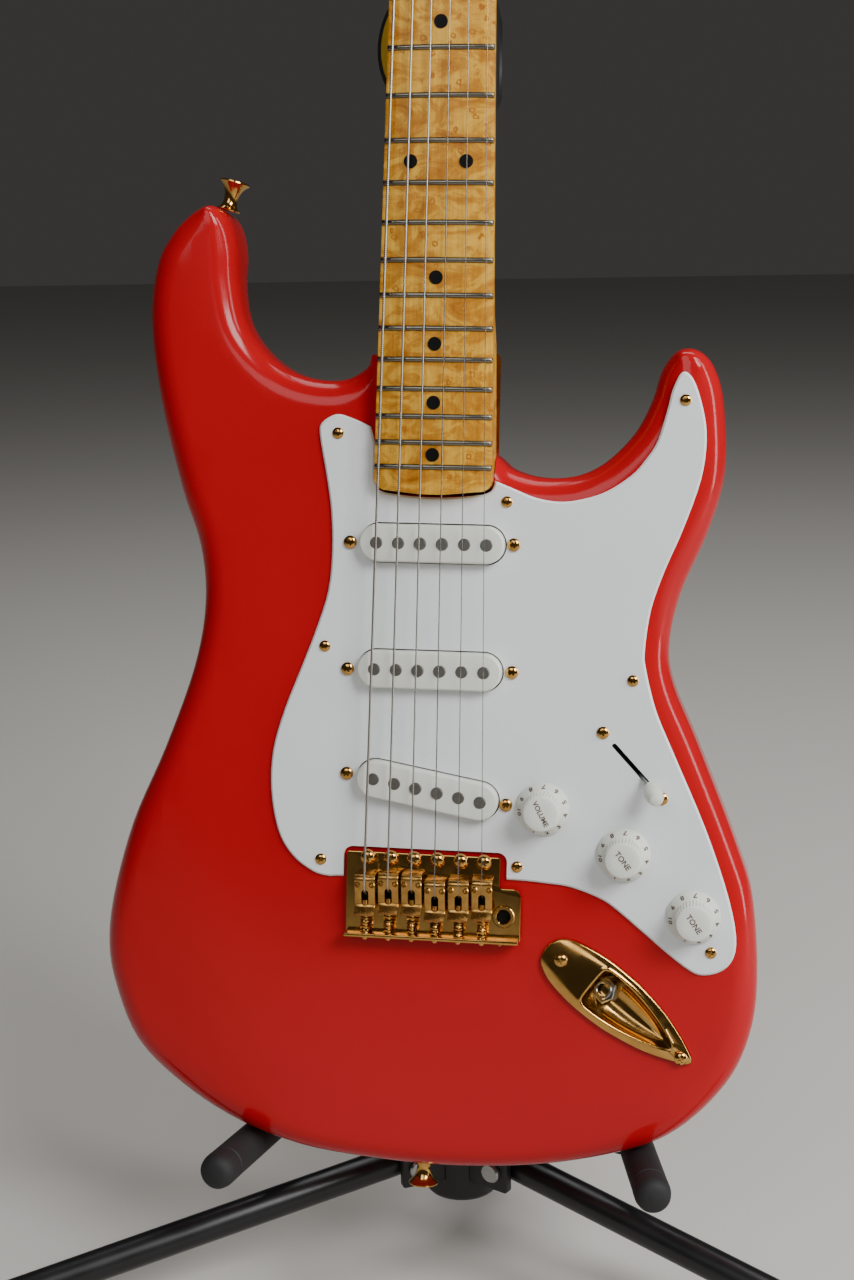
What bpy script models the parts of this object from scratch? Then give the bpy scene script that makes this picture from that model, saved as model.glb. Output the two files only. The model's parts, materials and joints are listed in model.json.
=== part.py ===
"""A solid-body electric guitar resting on a tripod stand, as separate closed solids.

Sizes are in millimetres and are turned into metres when a mesh is made. The guitar is laid out the way
a luthier does it: across the strings, down from the nut, and forward of the body's front face.
"""

import bmesh
import bpy
import math
from mathutils import Matrix, Vector

MM = 0.001
GAP = 0.3

# Driving dimensions of the guitar
SCALE_LENGTH = 647.7
NUT_HEIGHT = 798.5
BODY_THICKNESS = 44.5
EDGE_RADIUS = 12.5
NUT_HALF_WIDTH = 21.0
HEEL_HALF_WIDTH = 28.1
HEEL_END = 468.0
BOARD_FACE = 9.5
BOARD_RADIUS = 184.0
NECK_DEPTH = 21.5
HEEL_DEPTH = 25.4
GUARD_THICKNESS = 1.6
STRING_SPREAD_NUT = 35.5
STRING_SPREAD_BRIDGE = 56.4
STRING_AT_NUT = 11.3
STRING_AT_SADDLE = 13.4
STRING_RADII = (0.62, 0.5, 0.4, 0.28, 0.22, 0.18)
SADDLE_CRESTS = (652.5, 651.3, 651.3, 653.7, 652.9, 652.0)
STRINGS = 6

# Driving dimensions of the stand
LEAN = math.radians(9.0)
ROLL = math.radians(1.15)
STAND_OFFSET = 9.0
REST_HEIGHT = 88.0
SHAFT_BEHIND = 88.0
LEG_AZIMUTH = math.radians(62.0)
LEG_REACH = 300.0
LEG_RADIUS = 8.0
HUB_BEHIND = 85.0
HUB_RADIUS = 20.0
LEG_PIVOT_REACH = 29.5
LEG_PIVOT_HEIGHT = 56.0
FOOT_RADIUS = 16.0
FOOT_LEG_HEIGHT = 13.5
FOOT_REACH = LEG_REACH - 3.0
HUB_Y = -FOOT_REACH * (1.0 - math.cos(LEG_AZIMUTH)) / 2.0
FRONT_Y = HUB_Y - HUB_BEHIND
SHAFT_RADIUS = 11.0
INNER_SHAFT_RADIUS = 8.0
CLUTCH_HEIGHT = 556.0
BADGE_TURN = math.radians(-27.0)
BADGE_RADIUS = 34.0
YOKE_HEIGHT = 738.0
ARM_PIVOT_ACROSS = 89.0
ARM_PIVOT_BEHIND = 74.0
ARM_SPLAY = math.radians(9.0)
ARM_LEVEL = 3.8
ARM_LENGTH = 97.0
SLEEVE_RADIUS = 8.7

RED = (0.52, 0.012, 0.010)
WHITE = (0.60, 0.61, 0.61)
CREAM = (0.62, 0.62, 0.57)
MAPLE = (0.58, 0.30, 0.05)
GOLD = (0.83, 0.55, 0.20)
NICKEL = (0.55, 0.54, 0.52)
STEEL = (0.45, 0.45, 0.45)
BLACK = (0.012, 0.012, 0.014)
RUBBER = (0.02, 0.02, 0.022)
YELLOW = (0.44, 0.26, 0.02)
BONE = (0.75, 0.70, 0.55)


# ---------------------------------------------------------------- materials and objects


def make_material(name, colour, roughness, metallic):
    """Makes one Principled material."""
    material = bpy.data.materials.new(name)
    material.use_nodes = True
    shader = material.node_tree.nodes["Principled BSDF"]
    shader.inputs["Base Color"].default_value = (*colour, 1.0)
    shader.inputs["Roughness"].default_value = roughness
    shader.inputs["Metallic"].default_value = metallic
    material.diffuse_color = (*colour, 1.0)
    return material


def add_object(name, mesh, parent=None, finish=None, helper=False):
    """Links a mesh as a named object; a helper is a cutter or a joined piece and isn't a node."""
    piece = bpy.data.objects.new(name, mesh)
    bpy.context.collection.objects.link(piece)
    piece.parent = parent
    if finish:
        colour, roughness, metallic = finish
        mesh.materials.append(make_material(name, colour, roughness, metallic))
    if helper:
        piece.hide_render = True
        piece.display_type = "WIRE"
    return piece


def add_frame(name, location, rotation=(0.0, 0.0, 0.0), parent=None):
    """An empty that carries a group of pieces; its location is in millimetres."""
    frame = bpy.data.objects.new(name, None)
    bpy.context.collection.objects.link(frame)
    frame.location = Vector(location) * MM
    frame.rotation_euler = rotation
    frame.parent = parent
    return frame


def place(piece, location, rotation=(0.0, 0.0, 0.0)):
    """Puts a piece's origin at a place given in millimetres."""
    piece.location = Vector(location) * MM
    piece.rotation_euler = rotation
    return piece


def boolean(piece, other, operation):
    """Cuts, joins or intersects a piece with a helper object."""
    modifier = piece.modifiers.new(other.name, "BOOLEAN")
    modifier.operation = operation
    modifier.solver = "EXACT"
    modifier.object = other


def cut(piece, name, mesh, location=(0, 0, 0), rotation=(0, 0, 0), parent=None):
    """Cuts a piece by a mesh that is placed in the piece's own parent frame."""
    cutter = place(add_object(name, mesh, parent or piece.parent, helper=True), location, rotation)
    boolean(piece, cutter, "DIFFERENCE")


def join(piece, name, mesh, location=(0, 0, 0), rotation=(0, 0, 0), parent=None):
    """Joins a mesh to a piece, in the piece's own parent frame."""
    part = place(add_object(name, mesh, parent or piece.parent, helper=True), location, rotation)
    boolean(piece, part, "UNION")


# ---------------------------------------------------------------- shapes


def finish_mesh(name, shape, smooth=True):
    """Turns a bmesh in millimetres into a mesh in metres with its faces pointing out."""
    bmesh.ops.recalc_face_normals(shape, faces=shape.faces)
    shape.transform(Matrix.Scale(MM, 4))
    mesh = bpy.data.meshes.new(name)
    shape.to_mesh(mesh)
    shape.free()
    if smooth:
        mesh.shade_smooth()
        mesh.set_sharp_from_angle(angle=math.radians(35.0))
    return mesh


def loft(name, rings):
    """A closed skin through rings of points, with a flat cap at each end."""
    shape = bmesh.new()
    loops = [[shape.verts.new(point) for point in ring] for ring in rings]
    count = len(rings[0])
    for lower, upper in zip(loops, loops[1:]):
        for i in range(count):
            j = (i + 1) % count
            shape.faces.new((lower[i], lower[j], upper[j], upper[i]))
    shape.faces.new(loops[0][::-1])
    shape.faces.new(loops[-1])
    return finish_mesh(name, shape)


def box(name, size, centre=(0, 0, 0)):
    """A rectangular block."""
    shape = bmesh.new()
    bmesh.ops.create_cube(shape, size=1.0)
    shape.transform(Matrix.Translation(centre) @ Matrix.Diagonal((*size, 1.0)))
    return finish_mesh(name, shape, smooth=False)


def turned(name, profile, segments=20):
    """A piece turned about Z; its profile is a list of (radius, height) from bottom to top."""
    rings = []
    for radius, height in profile:
        rings.append([
            (radius * math.cos(math.tau * k / segments), radius * math.sin(math.tau * k / segments), height)
            for k in range(segments)
        ])
    return loft(name, rings)


def turned_with_bore(name, outer, bore, segments=20):
    """A turned ring: the outer profile from bottom to top, then the bore from top to bottom."""
    shape = bmesh.new()
    loops = []
    for radius, height in outer + bore:
        loops.append([
            shape.verts.new((radius * math.cos(math.tau * k / segments),
                             radius * math.sin(math.tau * k / segments), height))
            for k in range(segments)
        ])
    for lower, upper in zip(loops, loops[1:] + loops[:1]):
        for i in range(segments):
            j = (i + 1) % segments
            shape.faces.new((lower[i], lower[j], upper[j], upper[i]))
    return finish_mesh(name, shape)


def slab(name, outline, back, front):
    """An outline of (across, up) points made solid from one depth to another, y running backwards."""
    return loft(name, [[(x, back, z) for x, z in outline], [(x, front, z) for x, z in outline]])


def catmull_rom(points, per_span):
    """A smooth closed curve through points, with per_span steps between neighbours."""
    curve = []
    count = len(points)
    for i in range(count):
        before, start, end, after = (Vector(points[(i + k) % count]) for k in (-1, 0, 1, 2))
        for step in range(per_span):
            t = step / per_span
            curve.append(0.5 * (
                2 * start + (end - before) * t
                + (2 * before - 5 * start + 4 * end - after) * t * t
                + (3 * start - before - 3 * end + after) * t ** 3
            ))
    return curve


def stadium(length, width, segments=6):
    """A slot-shaped outline lying across, centred on nothing."""
    radius = width / 2.0
    reach = length / 2.0 - radius
    outline = []
    for side, start in ((1, -math.pi / 2), (-1, math.pi / 2)):
        for k in range(segments + 1):
            angle = start + math.pi * k / segments
            outline.append((side * reach + radius * math.cos(angle), radius * math.sin(angle)))
    return outline


def turn_outline(outline, angle, centre):
    """Turns an outline about its own origin and moves it to a centre."""
    c, s = math.cos(angle), math.sin(angle)
    return [(centre[0] + x * c - z * s, centre[1] + x * s + z * c) for x, z in outline]


def up(below_nut):
    """Height above the body's lowest edge of a place given as a distance down from the nut."""
    return NUT_HEIGHT - below_nut


def outline_from(points, per_span=1):
    """Turns (across, below the nut) points into an (across, up) outline."""
    raised = [(x, up(s)) for x, s in points]
    return [tuple(p) for p in catmull_rom(raised, per_span)] if per_span > 1 else raised


def rod(name, radius, length, segments=16):
    """A plain round bar along Z, from its origin."""
    return turned(name, [(radius, 0.0), (radius, length)], segments)


def round_bar(name, radius, length, segments=14, steps=2):
    """A bar along Z with rounded ends."""
    start = [(radius * math.sin(math.pi / 2 * k / steps), -radius * math.cos(math.pi / 2 * k / steps))
             for k in range(1, steps + 1)]
    end = [(radius * math.cos(math.pi / 2 * k / steps), length + radius * math.sin(math.pi / 2 * k / steps))
           for k in range(steps)]
    tip = 0.08 * radius
    return turned(name, [(tip, -radius)] + start + end + [(tip, length + radius)], segments)


def level_tube(name, path, radius, segments=12):
    """A round tube along a level path, with a short taper to close each end."""
    rings = []
    last = len(path) - 1
    for i, centre in enumerate(path):
        along = (path[min(i + 1, last)] - path[max(i - 1, 0)]).normalized()
        side = Vector((-along.y, along.x, 0))
        ring = [centre + radius * (side * math.cos(math.tau * k / segments)
                                   + Vector((0, 0, math.sin(math.tau * k / segments))))
                for k in range(segments)]
        if i in (0, last):
            tip = centre + along * radius * (0.5 if i else -0.5)
            ends = [tip + (point - centre) * 0.55 for point in ring]
            rings += [ends, ring] if i == 0 else [ring, ends]
        else:
            rings.append(ring)
    return loft(name, rings)


# ---------------------------------------------------------------- the guitar's body

BODY_OUTLINE = (
    (-29.5, 402), (-35.5, 408.5), (-46, 414), (-60, 414), (-74, 409.5), (-86, 400), (-94.5, 387), (-98.5, 368),
    (-99.5, 353), (-102.5, 340.5), (-108, 333.5), (-115, 332), (-124, 337), (-133, 347), (-139.5, 361),
    (-142, 387), (-137, 425), (-126, 468), (-116.5, 496), (-114, 524), (-119.5, 556), (-134, 596),
    (-151, 634), (-162, 672), (-165, 699), (-161, 721), (-150, 746), (-130, 764.5), (-100, 781.5),
    (-62, 793.5), (-20, 798), (20, 798.5), (60, 794.5), (96, 786), (120, 775.5), (140, 757), (153.5, 735),
    (159.5, 705), (156.5, 660), (147.5, 631.5), (128, 585), (115.5, 557), (112.5, 538), (117, 513),
    (129, 483), (136, 455), (134.5, 423), (130, 407), (124, 399.5), (117, 397.3), (110.5, 400), (105, 408.5),
    (101.5, 421), (95, 435), (86, 446), (76, 454), (64, 458.5), (49, 459), (36, 455.5), (29, 450), (15, 440), (-12, 417),
)


def inward_normals(loop):
    """The unit normal pointing into a closed outline at each of its points."""
    count = len(loop)
    area = sum(loop[i].x * loop[(i + 1) % count].y - loop[(i + 1) % count].x * loop[i].y for i in range(count))
    side = 1.0 if area > 0 else -1.0
    normals = []
    for i in range(count):
        along = (loop[(i + 1) % count] - loop[i - 1]).normalized()
        normals.append(Vector((-along.y, along.x)) * side)
    return normals


def edge_radii(loop, normals, radius):
    """The rounding at each point, smaller where the outline itself turns tightly."""
    count = len(loop)
    limits = []
    for i in range(count):
        turn = normals[i - 1].angle(normals[(i + 1) % count], 0.0)
        length = (loop[(i + 1) % count] - loop[i - 1]).length
        convex = (loop[i - 1] + loop[(i + 1) % count] - 2 * loop[i]).dot(normals[i]) > 0
        limits.append(min(radius, 0.45 * length / turn) if convex and turn > 1e-4 else radius)
    for _ in range(5):
        limits = [min(limits[i], (limits[i - 1] + limits[i] + limits[(i + 1) % count]) / 3.0 + 0.2)
                  for i in range(count)]
    return limits


def body_mesh():
    """The body: an outline made solid, with a quarter-round along both edges."""
    loop = [Vector(p) for p in outline_from(BODY_OUTLINE, 2)]
    normals = inward_normals(loop)
    radii = edge_radii(loop, normals, EDGE_RADIUS)
    steps = (0.0, 30.0, 60.0, 90.0)
    rings = []
    for angle in steps:
        rise = math.radians(angle)
        inset = 1.0 - math.sin(rise)
        depth = EDGE_RADIUS * (1.0 - math.cos(rise))
        rings.append([(*(p + n * r * inset), depth) for p, n, r in zip(loop, normals, radii)])
    for angle in reversed(steps):
        rise = math.radians(angle)
        inset = 1.0 - math.sin(rise)
        depth = BODY_THICKNESS - EDGE_RADIUS * (1.0 - math.cos(rise))
        rings.append([(*(p + n * r * inset), depth) for p, n, r in zip(loop, normals, radii)])
    return loft("guitar_body", [[(x, y, z) for x, z, y in ring] for ring in rings])


PICKUPS = (
    ("neck", 491.3, 0.0),
    ("middle", 551.6, 0.0),
    ("bridge", 609.1, math.radians(-10.0)),
)
PICKUP_LENGTH = 69.3
PICKUP_WIDTH = 18.0
KNOBS = (("volume_knob", 55.6, 616.1), ("tone_knob_neck", 94.6, 636.5), ("tone_knob_middle", 128.4, 664.7))
SWITCH_CENTRE = (97.3, 593.8)
SWITCH_ANGLE = math.atan2(-(608.9 - 578.6), 111.6 - 83.0)
JACK_CENTRE = (94.0, 709.5)
JACK_ANGLE = math.atan2(-(731.9 - 689.0), 123.9 - 66.0)


def pocket_outline(clearance):
    """The plan of the neck's heel, opened by a clearance."""
    half = HEEL_HALF_WIDTH + clearance
    end = HEEL_END + 3.0 * clearance
    corner = 5.0
    mouth = half_width(320.0) + clearance
    return [
        (-mouth, up(320)), (-half, up(end - corner - 2)),
        (-half + 1.6, up(end - 3.4)), (-half + corner, up(end - 1.4)), (0, up(end)),
        (half - corner, up(end - 1.4)), (half - 1.6, up(end - 3.4)), (half, up(end - corner - 2)),
        (mouth, up(320)),
    ]


def make_body(guitar):
    """The body with its neck pocket, cavities, through slot and contours."""
    body = add_object("guitar_body", body_mesh(), guitar, (RED, 0.12, 0.0))
    floor = HEEL_DEPTH - BOARD_FACE + GAP
    cut(body, "pocket_cutter", slab("pocket", pocket_outline(GAP), -10.0, floor))
    cut(body, "pickup_cutter", box("pickup_well", (82, 30, 148), (0, 3.0, up(549))))
    control = [(60, 602), (99, 565), (106, 572), (127, 618), (141, 660), (136, 680), (126, 682), (110, 670),
               (94, 656), (60, 640), (46, 630), (42, 616)]
    cut(body, "control_cutter", slab("control_well", outline_from(control), -12.0, 36.0))
    cut(body, "block_mouth_cutter", box("block_mouth", (71, 30, 22), (0, -10.0, up(655.5))))
    cut(body, "block_cutter", box("block_well", (74, 70, 36), (0, 38.0, up(654))))
    cut(body, "spring_cutter", box("spring_well", (60, 20, 124), (0, 40.0, up(579))))
    jack = turn_outline(stadium(62, 20), JACK_ANGLE, (JACK_CENTRE[0] + 1, up(JACK_CENTRE[1])))
    cut(body, "jack_cutter", slab("jack_well", jack, -10.0, 34.0))
    forearm = box("forearm_wedge", (120, 30, 320), (-60, -15.0, 0))
    cut(body, "forearm_cutter", forearm, (-108, 0.0, up(690)), (0.0, math.radians(-14), math.radians(-9.5)))
    belly = box("belly_wedge", (120, 40, 220), (-60, 20.0, 0))
    cut(body, "belly_cutter", belly, (-66, BODY_THICKNESS, up(455)), (0.0, math.radians(8), math.radians(14)))
    return body


# ---------------------------------------------------------------- the neck


def half_width(below_nut):
    """Half the neck's width at a distance below the nut."""
    return NUT_HALF_WIDTH + (HEEL_HALF_WIDTH - NUT_HALF_WIDTH) * min(max(below_nut, 0.0), 465.0) / 465.0


def neck_section(below_nut, depth, power, shrink=0.0):
    """One ring of the neck: a gently domed board in front and a rounded back of a given squareness."""
    half = half_width(below_nut) - shrink
    board = 7
    ring = []
    for k in range(board):
        x = -half + 2 * half * k / (board - 1)
        ring.append((x, -(BOARD_FACE - (BOARD_RADIUS - math.sqrt(BOARD_RADIUS ** 2 - x * x))), up(below_nut)))
    side = -(BOARD_FACE - 5.5)
    back = depth - BOARD_FACE
    steps = 10
    for k in range(steps + 1):
        angle = math.pi * k / steps
        c, s = math.cos(angle), math.sin(angle)
        x = half * math.copysign(abs(c) ** (2.0 / power), c)
        ring.append((x, side + (back - side) * s ** (2.0 / power), up(below_nut)))
    return ring


HEAD_OUTLINE = (
    (-20.8, 6), (-20.8, -2), (-25, -12), (-36, -22), (-38.5, -34), (-29, -158), (-22, -176), (-8, -184),
    (8, -180), (17, -168), (19.5, -150), (17, -110), (19, -60), (20.8, -30), (20.8, 6),
)
HEAD_FACE = 3.2
HEAD_THICKNESS = 14.0
POST_PITCH = 24.0
FIRST_POST = -36.0
TUNER_EDGE_START = (-38.5, -34.0)
TUNER_EDGE_END = (-29.0, -158.0)


def post_place(index):
    """Where a string's post stands: along the straight tuner edge, lowest string nearest the nut."""
    below = FIRST_POST - POST_PITCH * index
    share = (below - TUNER_EDGE_START[1]) / (TUNER_EDGE_END[1] - TUNER_EDGE_START[1])
    edge = TUNER_EDGE_START[0] + (TUNER_EDGE_END[0] - TUNER_EDGE_START[0]) * share
    return edge + 14.0, below


def make_neck(guitar):
    """The neck with its headstock, heel and post holes."""
    stations = (
        (4.9, NECK_DEPTH, 2.2, 0.0), (60, NECK_DEPTH, 2.2, 0.0), (150, NECK_DEPTH, 2.2, 0.0),
        (240, NECK_DEPTH, 2.2, 0.0), (330, 23.0, 2.4, 0.0), (378, 24.0, 2.8, 0.0), (396, HEEL_DEPTH, 8.0, 0.0),
        (430, HEEL_DEPTH, 14.0, 0.0), (461, HEEL_DEPTH, 14.0, 0.0), (464.6, HEEL_DEPTH, 14.0, 1.6),
        (466.6, HEEL_DEPTH, 14.0, 5.0), (HEEL_END, HEEL_DEPTH, 14.0, 22.0),
    )
    rings = [neck_section(*station) for station in stations]
    neck = add_object("neck", loft("neck", rings), guitar, (MAPLE, 0.25, 0.0))
    head_back = HEAD_THICKNESS - HEAD_FACE
    join(neck, "headstock", slab("headstock", outline_from(HEAD_OUTLINE), head_back, -HEAD_FACE))
    throat = [(-18, 30), (-19.5, -14), (19.5, -14), (18, 30)]
    join(neck, "throat", slab("throat", outline_from(throat), NECK_DEPTH - BOARD_FACE - 1.5, -HEAD_FACE + 1.0))
    for index in range(STRINGS):
        x, below = post_place(index)
        hole = rod(f"post_hole_{index + 1}", 5.0, 40.0, 12)
        cut(neck, f"post_cutter_{index + 1}", hole, (x, 20.0, up(below)), (math.radians(90), 0, 0))
    return neck


def string_across(index, below_nut):
    """A string's place across, between its nut slot and its saddle; index 0 is the lowest string."""
    share = min(max(below_nut / SCALE_LENGTH, 0.0), 1.01)
    spread = STRING_SPREAD_NUT + (STRING_SPREAD_BRIDGE - STRING_SPREAD_NUT) * share
    return spread * (index / (STRINGS - 1) - 0.5)


def make_nut(guitar):
    """The nut, standing across the board's end under the strings."""
    shape = [(-20.6, -HEAD_FACE - GAP), (20.6, -HEAD_FACE - GAP), (20.6, -10.1), (0, -10.7), (-20.6, -10.1)]
    rings = [[(x, y, up(below)) for x, y in shape] for below in (4.5, 0.8)]
    add_object("nut", loft("nut", rings), guitar, (BONE, 0.35, 0.0))


# ---------------------------------------------------------------- guard, pickups and controls

GUARD_OUTLINE = (
    (-55.5, 441), (-54.5, 435), (-47.5, 431), (-40, 432.7), (-31, 436.5), (-29.2, 446), (-29.2, 468.8),
    (0, 469.6), (29.2, 468.8), (29.2, 461), (37, 464.2), (48.5, 468.6), (60, 470.2), (71, 468.6), (82, 464.6),
    (93, 457), (99, 450), (104.5, 441), (108.7, 426), (110.8, 417), (115, 409), (120.2, 412.5),
    (125, 426), (127, 440), (125, 458.5), (117.4, 482), (109.7, 501), (103.8, 519.7), (101.5, 538.6),
    (102.3, 548), (107.5, 567), (115.6, 585.4), (132.6, 622.8), (144.5, 655.7), (148.6, 677),
    (144.6, 688.4), (134, 692.9), (124, 689), (103, 672.4), (91.6, 663.3), (84, 658.5), (70.4, 653.8),
    (59, 652.4), (39, 651.5), (39, 638.5), (-40.5, 638.5), (-40.5, 653.6), (-48, 654), (-56, 652),
    (-66.2, 644.5), (-73.3, 632.5), (-77, 613), (-76.3, 593.3), (-71, 573.6), (-63.5, 554), (-56, 534),
    (-50.3, 515), (-48.7, 495.6), (-49.5, 476.5), (-52, 460),
)
GUARD_FRONT = GUARD_THICKNESS + GAP


def make_guard(guitar):
    """The single-ply guard with its pickup, knob and switch openings."""
    guard = add_object("pickguard", slab("pickguard", outline_from(GUARD_OUTLINE), -GAP, -GUARD_FRONT),
                       guitar, (WHITE, 0.3, 0.0))
    for name, below, angle in PICKUPS:
        outline = turn_outline(stadium(PICKUP_LENGTH + 1.0, PICKUP_WIDTH + 1.0), angle, (0, up(below)))
        cut(guard, f"{name}_window", slab(f"{name}_window", outline, 5.0, -8.0))
    for name, x, below in KNOBS:
        hole = rod(f"{name}_hole", 5.0, 12.0, 12)
        cut(guard, f"{name}_hole", hole, (x, 4.0, up(below)), (math.radians(90), 0, 0))
    slot = turn_outline(stadium(28.0, 3.2, 4), SWITCH_ANGLE, (SWITCH_CENTRE[0], up(SWITCH_CENTRE[1])))
    cut(guard, "lever_slot", slab("lever_slot", slot, 5.0, -8.0))


def make_pickups(guitar):
    """Each pickup: a plastic cover with six pole holes, over a coil whose poles stand in them."""
    pitch = 52.4 / (STRINGS - 1)
    top = 8.0
    for name, below, angle in PICKUPS:
        cover_outline = stadium(PICKUP_LENGTH, PICKUP_WIDTH)
        cover = add_object(f"pickup_cover_{name}", slab("cover", cover_outline, 10.0, -top), guitar,
                           (CREAM, 0.35, 0.0))
        place(cover, (0, 0, up(below)), (0, -angle, 0))
        inner = slab("cover_inside", stadium(PICKUP_LENGTH - 3, PICKUP_WIDTH - 3), 14.0, -top + 1.6)
        cut(cover, f"{name}_cover_cutter", inner, (0, 0, up(below)), (0, -angle, 0))
        coil_outline = stadium(PICKUP_LENGTH - 4, PICKUP_WIDTH - 4)
        coil = add_object(f"pickup_coil_{name}", slab("coil", coil_outline, 9.0, -top + 2.2), guitar,
                          (STEEL, 0.5, 0.6))
        place(coil, (0, 0, up(below)), (0, -angle, 0))
        for index in range(STRINGS):
            offset = Vector((pitch * (index - 2.5), 0, 0))
            offset.rotate(Matrix.Rotation(-angle, 3, "Y"))
            centre = (offset.x, 0.0, up(below) + offset.z)
            hole = rod("pole_hole", 2.8, 12.0, 8)
            cut(cover, f"{name}_hole_{index + 1}", hole, (centre[0], 0.0, centre[2]), (math.radians(90), 0, 0))
            pole = rod("pole", 2.4, 12.4, 8)
            join(coil, f"{name}_pole_{index + 1}", pole, (centre[0], 4.0, centre[2]), (math.radians(90), 0, 0))


def make_knobs(guitar):
    """Three skirted knobs, each turning about its own pot shaft."""
    profile = [(3.0, -7.0), (3.0, 0.3), (12.75, 0.3), (12.75, 1.6), (10.2, 5.4), (8.9, 6.6), (8.5, 14.5),
               (7.6, 15.6)]
    for name, x, below in KNOBS:
        knob = add_object(name, turned(name, profile), guitar, (CREAM, 0.3, 0.0))
        place(knob, (x, -GUARD_FRONT, up(below)), (math.radians(90), 0, 0))


LEVER_PIVOT_DEPTH = 16.0
LEVER_REST = math.radians(27.5)


def make_switch(guitar):
    """The blade switch: a body under the guard and a lever with its tip, at one end of its travel."""
    place_at = (SWITCH_CENTRE[0], 0, up(SWITCH_CENTRE[1]))
    frame = add_frame("switch_frame", place_at, (0, -SWITCH_ANGLE, 0), guitar)
    switch = add_object("selector_switch", box("switch", (38, 24, 9), (0, 14.5, 0)), frame, (STEEL, 0.35, 0.9))
    cut(switch, "switch_cutter", box("switch_well", (33, 30, 3.4), (0, 10.0, 0)))
    pivot = add_frame("lever_frame", (0, LEVER_PIVOT_DEPTH, 0), (0, 0, LEVER_REST), frame)
    add_object("selector_lever", box("lever", (6.0, 36.0, 1.2), (0, -14.5, 0)), pivot, (STEEL, 0.25, 1.0))
    tip = turned("tip", [(2.6, 0.0), (4.0, 3.0), (4.3, 8.0), (3.6, 12.5), (1.6, 14.0)], 16)
    lever_tip = add_object("selector_tip", tip, pivot, (CREAM, 0.35, 0.0))
    place(lever_tip, (0, -25.6, 0), (math.radians(90), 0, 0))
    cut(lever_tip, "tip_cutter", box("tip_well", (6.6, 10.0, 1.8), (0, -28.0, 0)))


def make_jack(guitar):
    """The boat-shaped jack plate with its dished recess, and the socket in the dish."""
    centre = (JACK_CENTRE[0], 0, up(JACK_CENTRE[1]))
    frame = add_frame("jack_frame", centre, (0, -JACK_ANGLE, 0), guitar)
    half = (
        (-44, 0), (-42, 7), (-34, 11.5), (-16, 14.6), (2, 14.4), (20, 11), (34, 6.2), (42, 2.6), (44, 0),
    )
    outline = list(half) + [(x, -z) for x, z in half[-2:0:-1]]
    plate = add_object("jack_plate", slab("jack_plate", outline, -GAP, -1.9), frame, (GOLD, 0.12, 1.0))
    dish = [(-27, 0), (-24, 7), (-16, 9), (-2, 8.4), (14, 6), (26, 3), (29, 0), (26, -3), (14, -6), (-2, -8.4),
            (-16, -9), (-24, -7)]
    shell = [(x * 0.93, z * 0.93) for x, z in dish]
    floor = [(x * 0.5 - 8, z * 0.62) for x, z in dish]
    outer = loft("dish_outer", [[(x, -1.2, z) for x, z in shell], [(x, 12.0, z) for x, z in floor]])
    join(plate, "dish_join", outer)
    inner_rings = [[(x * 0.87, -3.0, z * 0.84) for x, z in dish], [(x * 0.44 - 8, 10.6, z * 0.48) for x, z in dish]]
    cut(plate, "dish_cutter", loft("dish_inner", inner_rings))
    cut(plate, "socket_cutter", rod("socket_hole", 4.3, 12.0, 16), (-8, 16.0, 0), (math.radians(90), 0, 0))
    profile = ([(3.9, -4.0), (3.9, 8.0)], [(3.1, 8.0), (3.1, -4.0)])
    socket = add_object("output_jack", turned_with_bore("output_jack", *profile), frame, (STEEL, 0.25, 1.0))
    place(socket, (-8, 13.0, 0), (math.radians(90), 0, 0))


# ---------------------------------------------------------------- bridge, strings and tuners

PIVOT_BELOW = 643.0
PIVOT_FORWARD = 2.2
PLATE_TOP = 4.0


def make_bridge(guitar):
    """The tremolo bridge: base plate with a turned-up rear lip, inertia block and six bent saddles."""
    frame = add_frame("bridge_frame", (0, -PIVOT_FORWARD, up(PIVOT_BELOW)), parent=guitar)
    thick = PLATE_TOP - PIVOT_FORWARD
    outline = [(-38.5, 2.4), (36.0, 2.4), (36.0, -11.5), (46.0, -14.5), (46.4, -35.0), (44.0, -37.5),
               (-38.5, -37.5)]
    plate = add_object("bridge_plate", slab("bridge_plate", outline, 0.0, -thick), frame, (GOLD, 0.1, 1.0))
    join(plate, "rear_lip", box("rear_lip", (84.4, 8.4, 1.8), (3.7, -4.2, -37.4)))
    cut(plate, "arm_hole", rod("arm_hole", 3.0, 10.0, 16), (38.2, 4.0, -25.9), (math.radians(90), 0, 0))
    block = box("tremolo_block", (68.0, 37.0, 13.0), (0, GAP + 18.5, -10.0))
    add_object("tremolo_block", block, frame, (STEEL, 0.4, 0.9))
    for index in range(STRINGS):
        x = string_across(index, SADDLE_CRESTS[index])
        crest = PIVOT_BELOW - SADDLE_CRESTS[index]
        top = STRING_AT_SADDLE - STRING_RADII[index] - PIVOT_FORWARD - GAP
        base = thick + GAP
        side = [(crest + 2.2, base), (crest + 2.6, top - 1.6), (crest + 1.2, top), (crest - 0.4, top),
                (crest - 15.5, top - 3.4), (crest - 16.4, top - 3.4), (crest - 16.4, top - 1.6),
                (crest - 17.8, top - 1.6), (crest - 17.8, top - 5.2), (crest - 15.0, top - 5.2),
                (crest - 1.0, top - 2.0), (crest + 0.4, top - 2.4), (crest + 0.6, base)]
        rings = [[(x + half, -w, z) for z, w in side] for half in (-5.2, 5.2)]
        saddle = add_object(f"saddle_{index + 1}", loft("saddle", rings), frame, (GOLD, 0.12, 1.0))
        slot = box("slot", (3.6, 8.0, 7.0), (x, -top + 1.5, crest - 8.0))
        cut(saddle, f"saddle_slot_{index + 1}", slot)


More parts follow.
